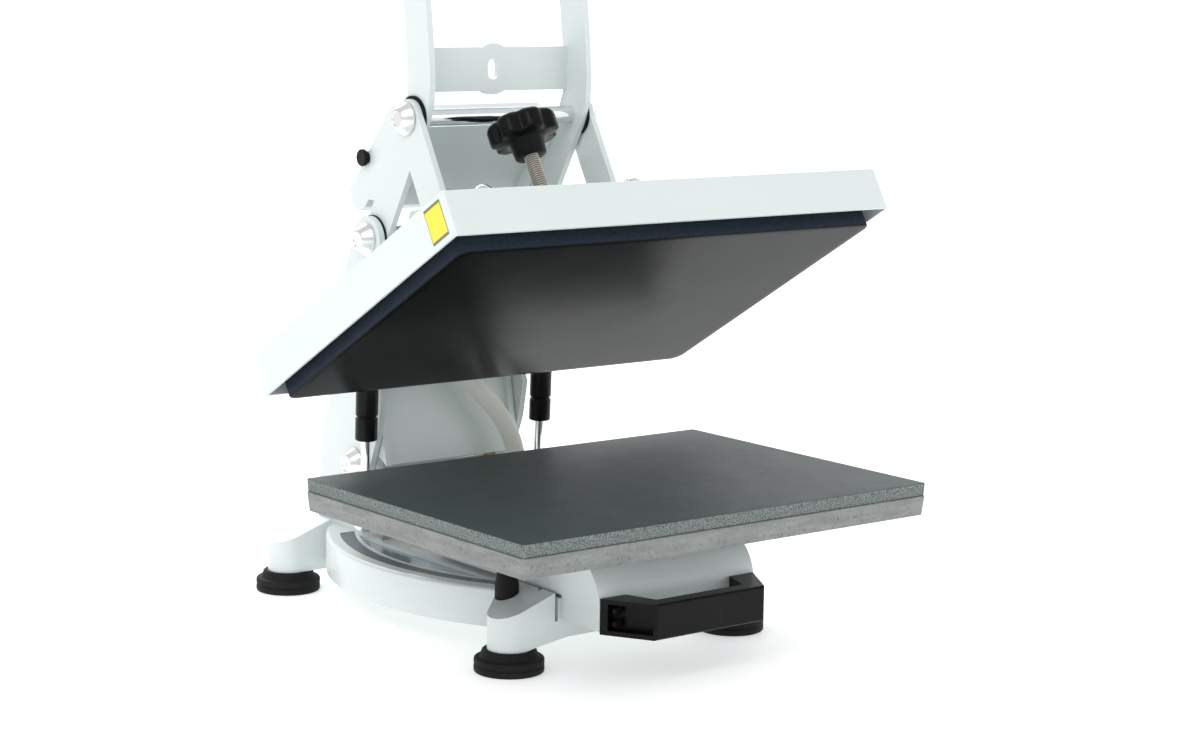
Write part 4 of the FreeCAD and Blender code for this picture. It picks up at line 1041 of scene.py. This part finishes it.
class PRESS_OT_caps(bpy.types.Operator):
    """Make the turned caps on the pivots"""
    bl_idname = "press.caps"
    bl_label = "Pivot caps"

    def execute(self, context):
        pivot_caps()
        return {"FINISHED"}


class PRESS_OT_feet(bpy.types.Operator):
    """Make the rubber feet"""
    bl_idname = "press.feet"
    bl_label = "Feet"

    def execute(self, context):
        rubber_feet()
        return {"FINISHED"}


class PRESS_OT_bumpers(bpy.types.Operator):
    """Make the rubber buffers under the lower plate"""
    bl_idname = "press.bumpers"
    bl_label = "Bumpers"

    def execute(self, context):
        front_bumpers()
        return {"FINISHED"}


class PRESS_OT_grip(bpy.types.Operator):
    """Make the foam grip on the lever's bar"""
    bl_idname = "press.grip"
    bl_label = "Grip"

    def execute(self, context):
        handle_grip()
        return {"FINISHED"}


class PRESS_OT_springs(bpy.types.Operator):
    """Make the gas spring cylinders"""
    bl_idname = "press.springs"
    bl_label = "Gas springs"

    def execute(self, context):
        gas_spring_tubes()
        return {"FINISHED"}


class PRESS_OT_pockets(bpy.types.Operator):
    """Make the bright plates in the base's side pockets"""
    bl_idname = "press.pockets"
    bl_label = "Base pockets"

    def execute(self, context):
        pocket_plates()
        return {"FINISHED"}


class PRESS_OT_label(bpy.types.Operator):
    """Make the plain sticker on the cover"""
    bl_idname = "press.label"
    bl_label = "Label"

    def execute(self, context):
        cover_label()
        return {"FINISHED"}


OPERATORS = [
    PRESS_OT_stage, PRESS_OT_finishes, PRESS_OT_sleeve, PRESS_OT_pad, PRESS_OT_platen, PRESS_OT_knob,
    PRESS_OT_spindle, PRESS_OT_caps, PRESS_OT_feet, PRESS_OT_bumpers, PRESS_OT_grip, PRESS_OT_springs,
    PRESS_OT_pockets, PRESS_OT_label,
]


class PRESS_PT_panel(bpy.types.Panel):
    """Sizes, colours and steps of the press"""
    bl_idname = "PRESS_PT_panel"
    bl_label = "Heat press"
    bl_space_type = "VIEW_3D"
    bl_region_type = "UI"
    bl_category = "Heat Press"

    def draw(self, context):
        for group in (context.scene.press_colours, context.scene.press_sizes):
            for key in group.__annotations__:
                self.layout.prop(group, key)
        for made in OPERATORS:
            self.layout.operator(made.bl_idname)


CLASSES = [PressColours, PressSizes, *OPERATORS, PRESS_PT_panel]


def register():
    for made in CLASSES:
        bpy.utils.register_class(made)
    bpy.types.Scene.press_colours = bpy.props.PointerProperty(type=PressColours)
    bpy.types.Scene.press_sizes = bpy.props.PointerProperty(type=PressSizes)


def unregister():
    del bpy.types.Scene.press_sizes
    del bpy.types.Scene.press_colours
    for made in reversed(CLASSES):
        bpy.utils.unregister_class(made)


def main():
    """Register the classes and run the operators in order."""
    register()
    for made in OPERATORS:
        area, name = made.bl_idname.split(".")
        getattr(getattr(bpy.ops, area), name)()


if __name__ == "__main__":
    main()
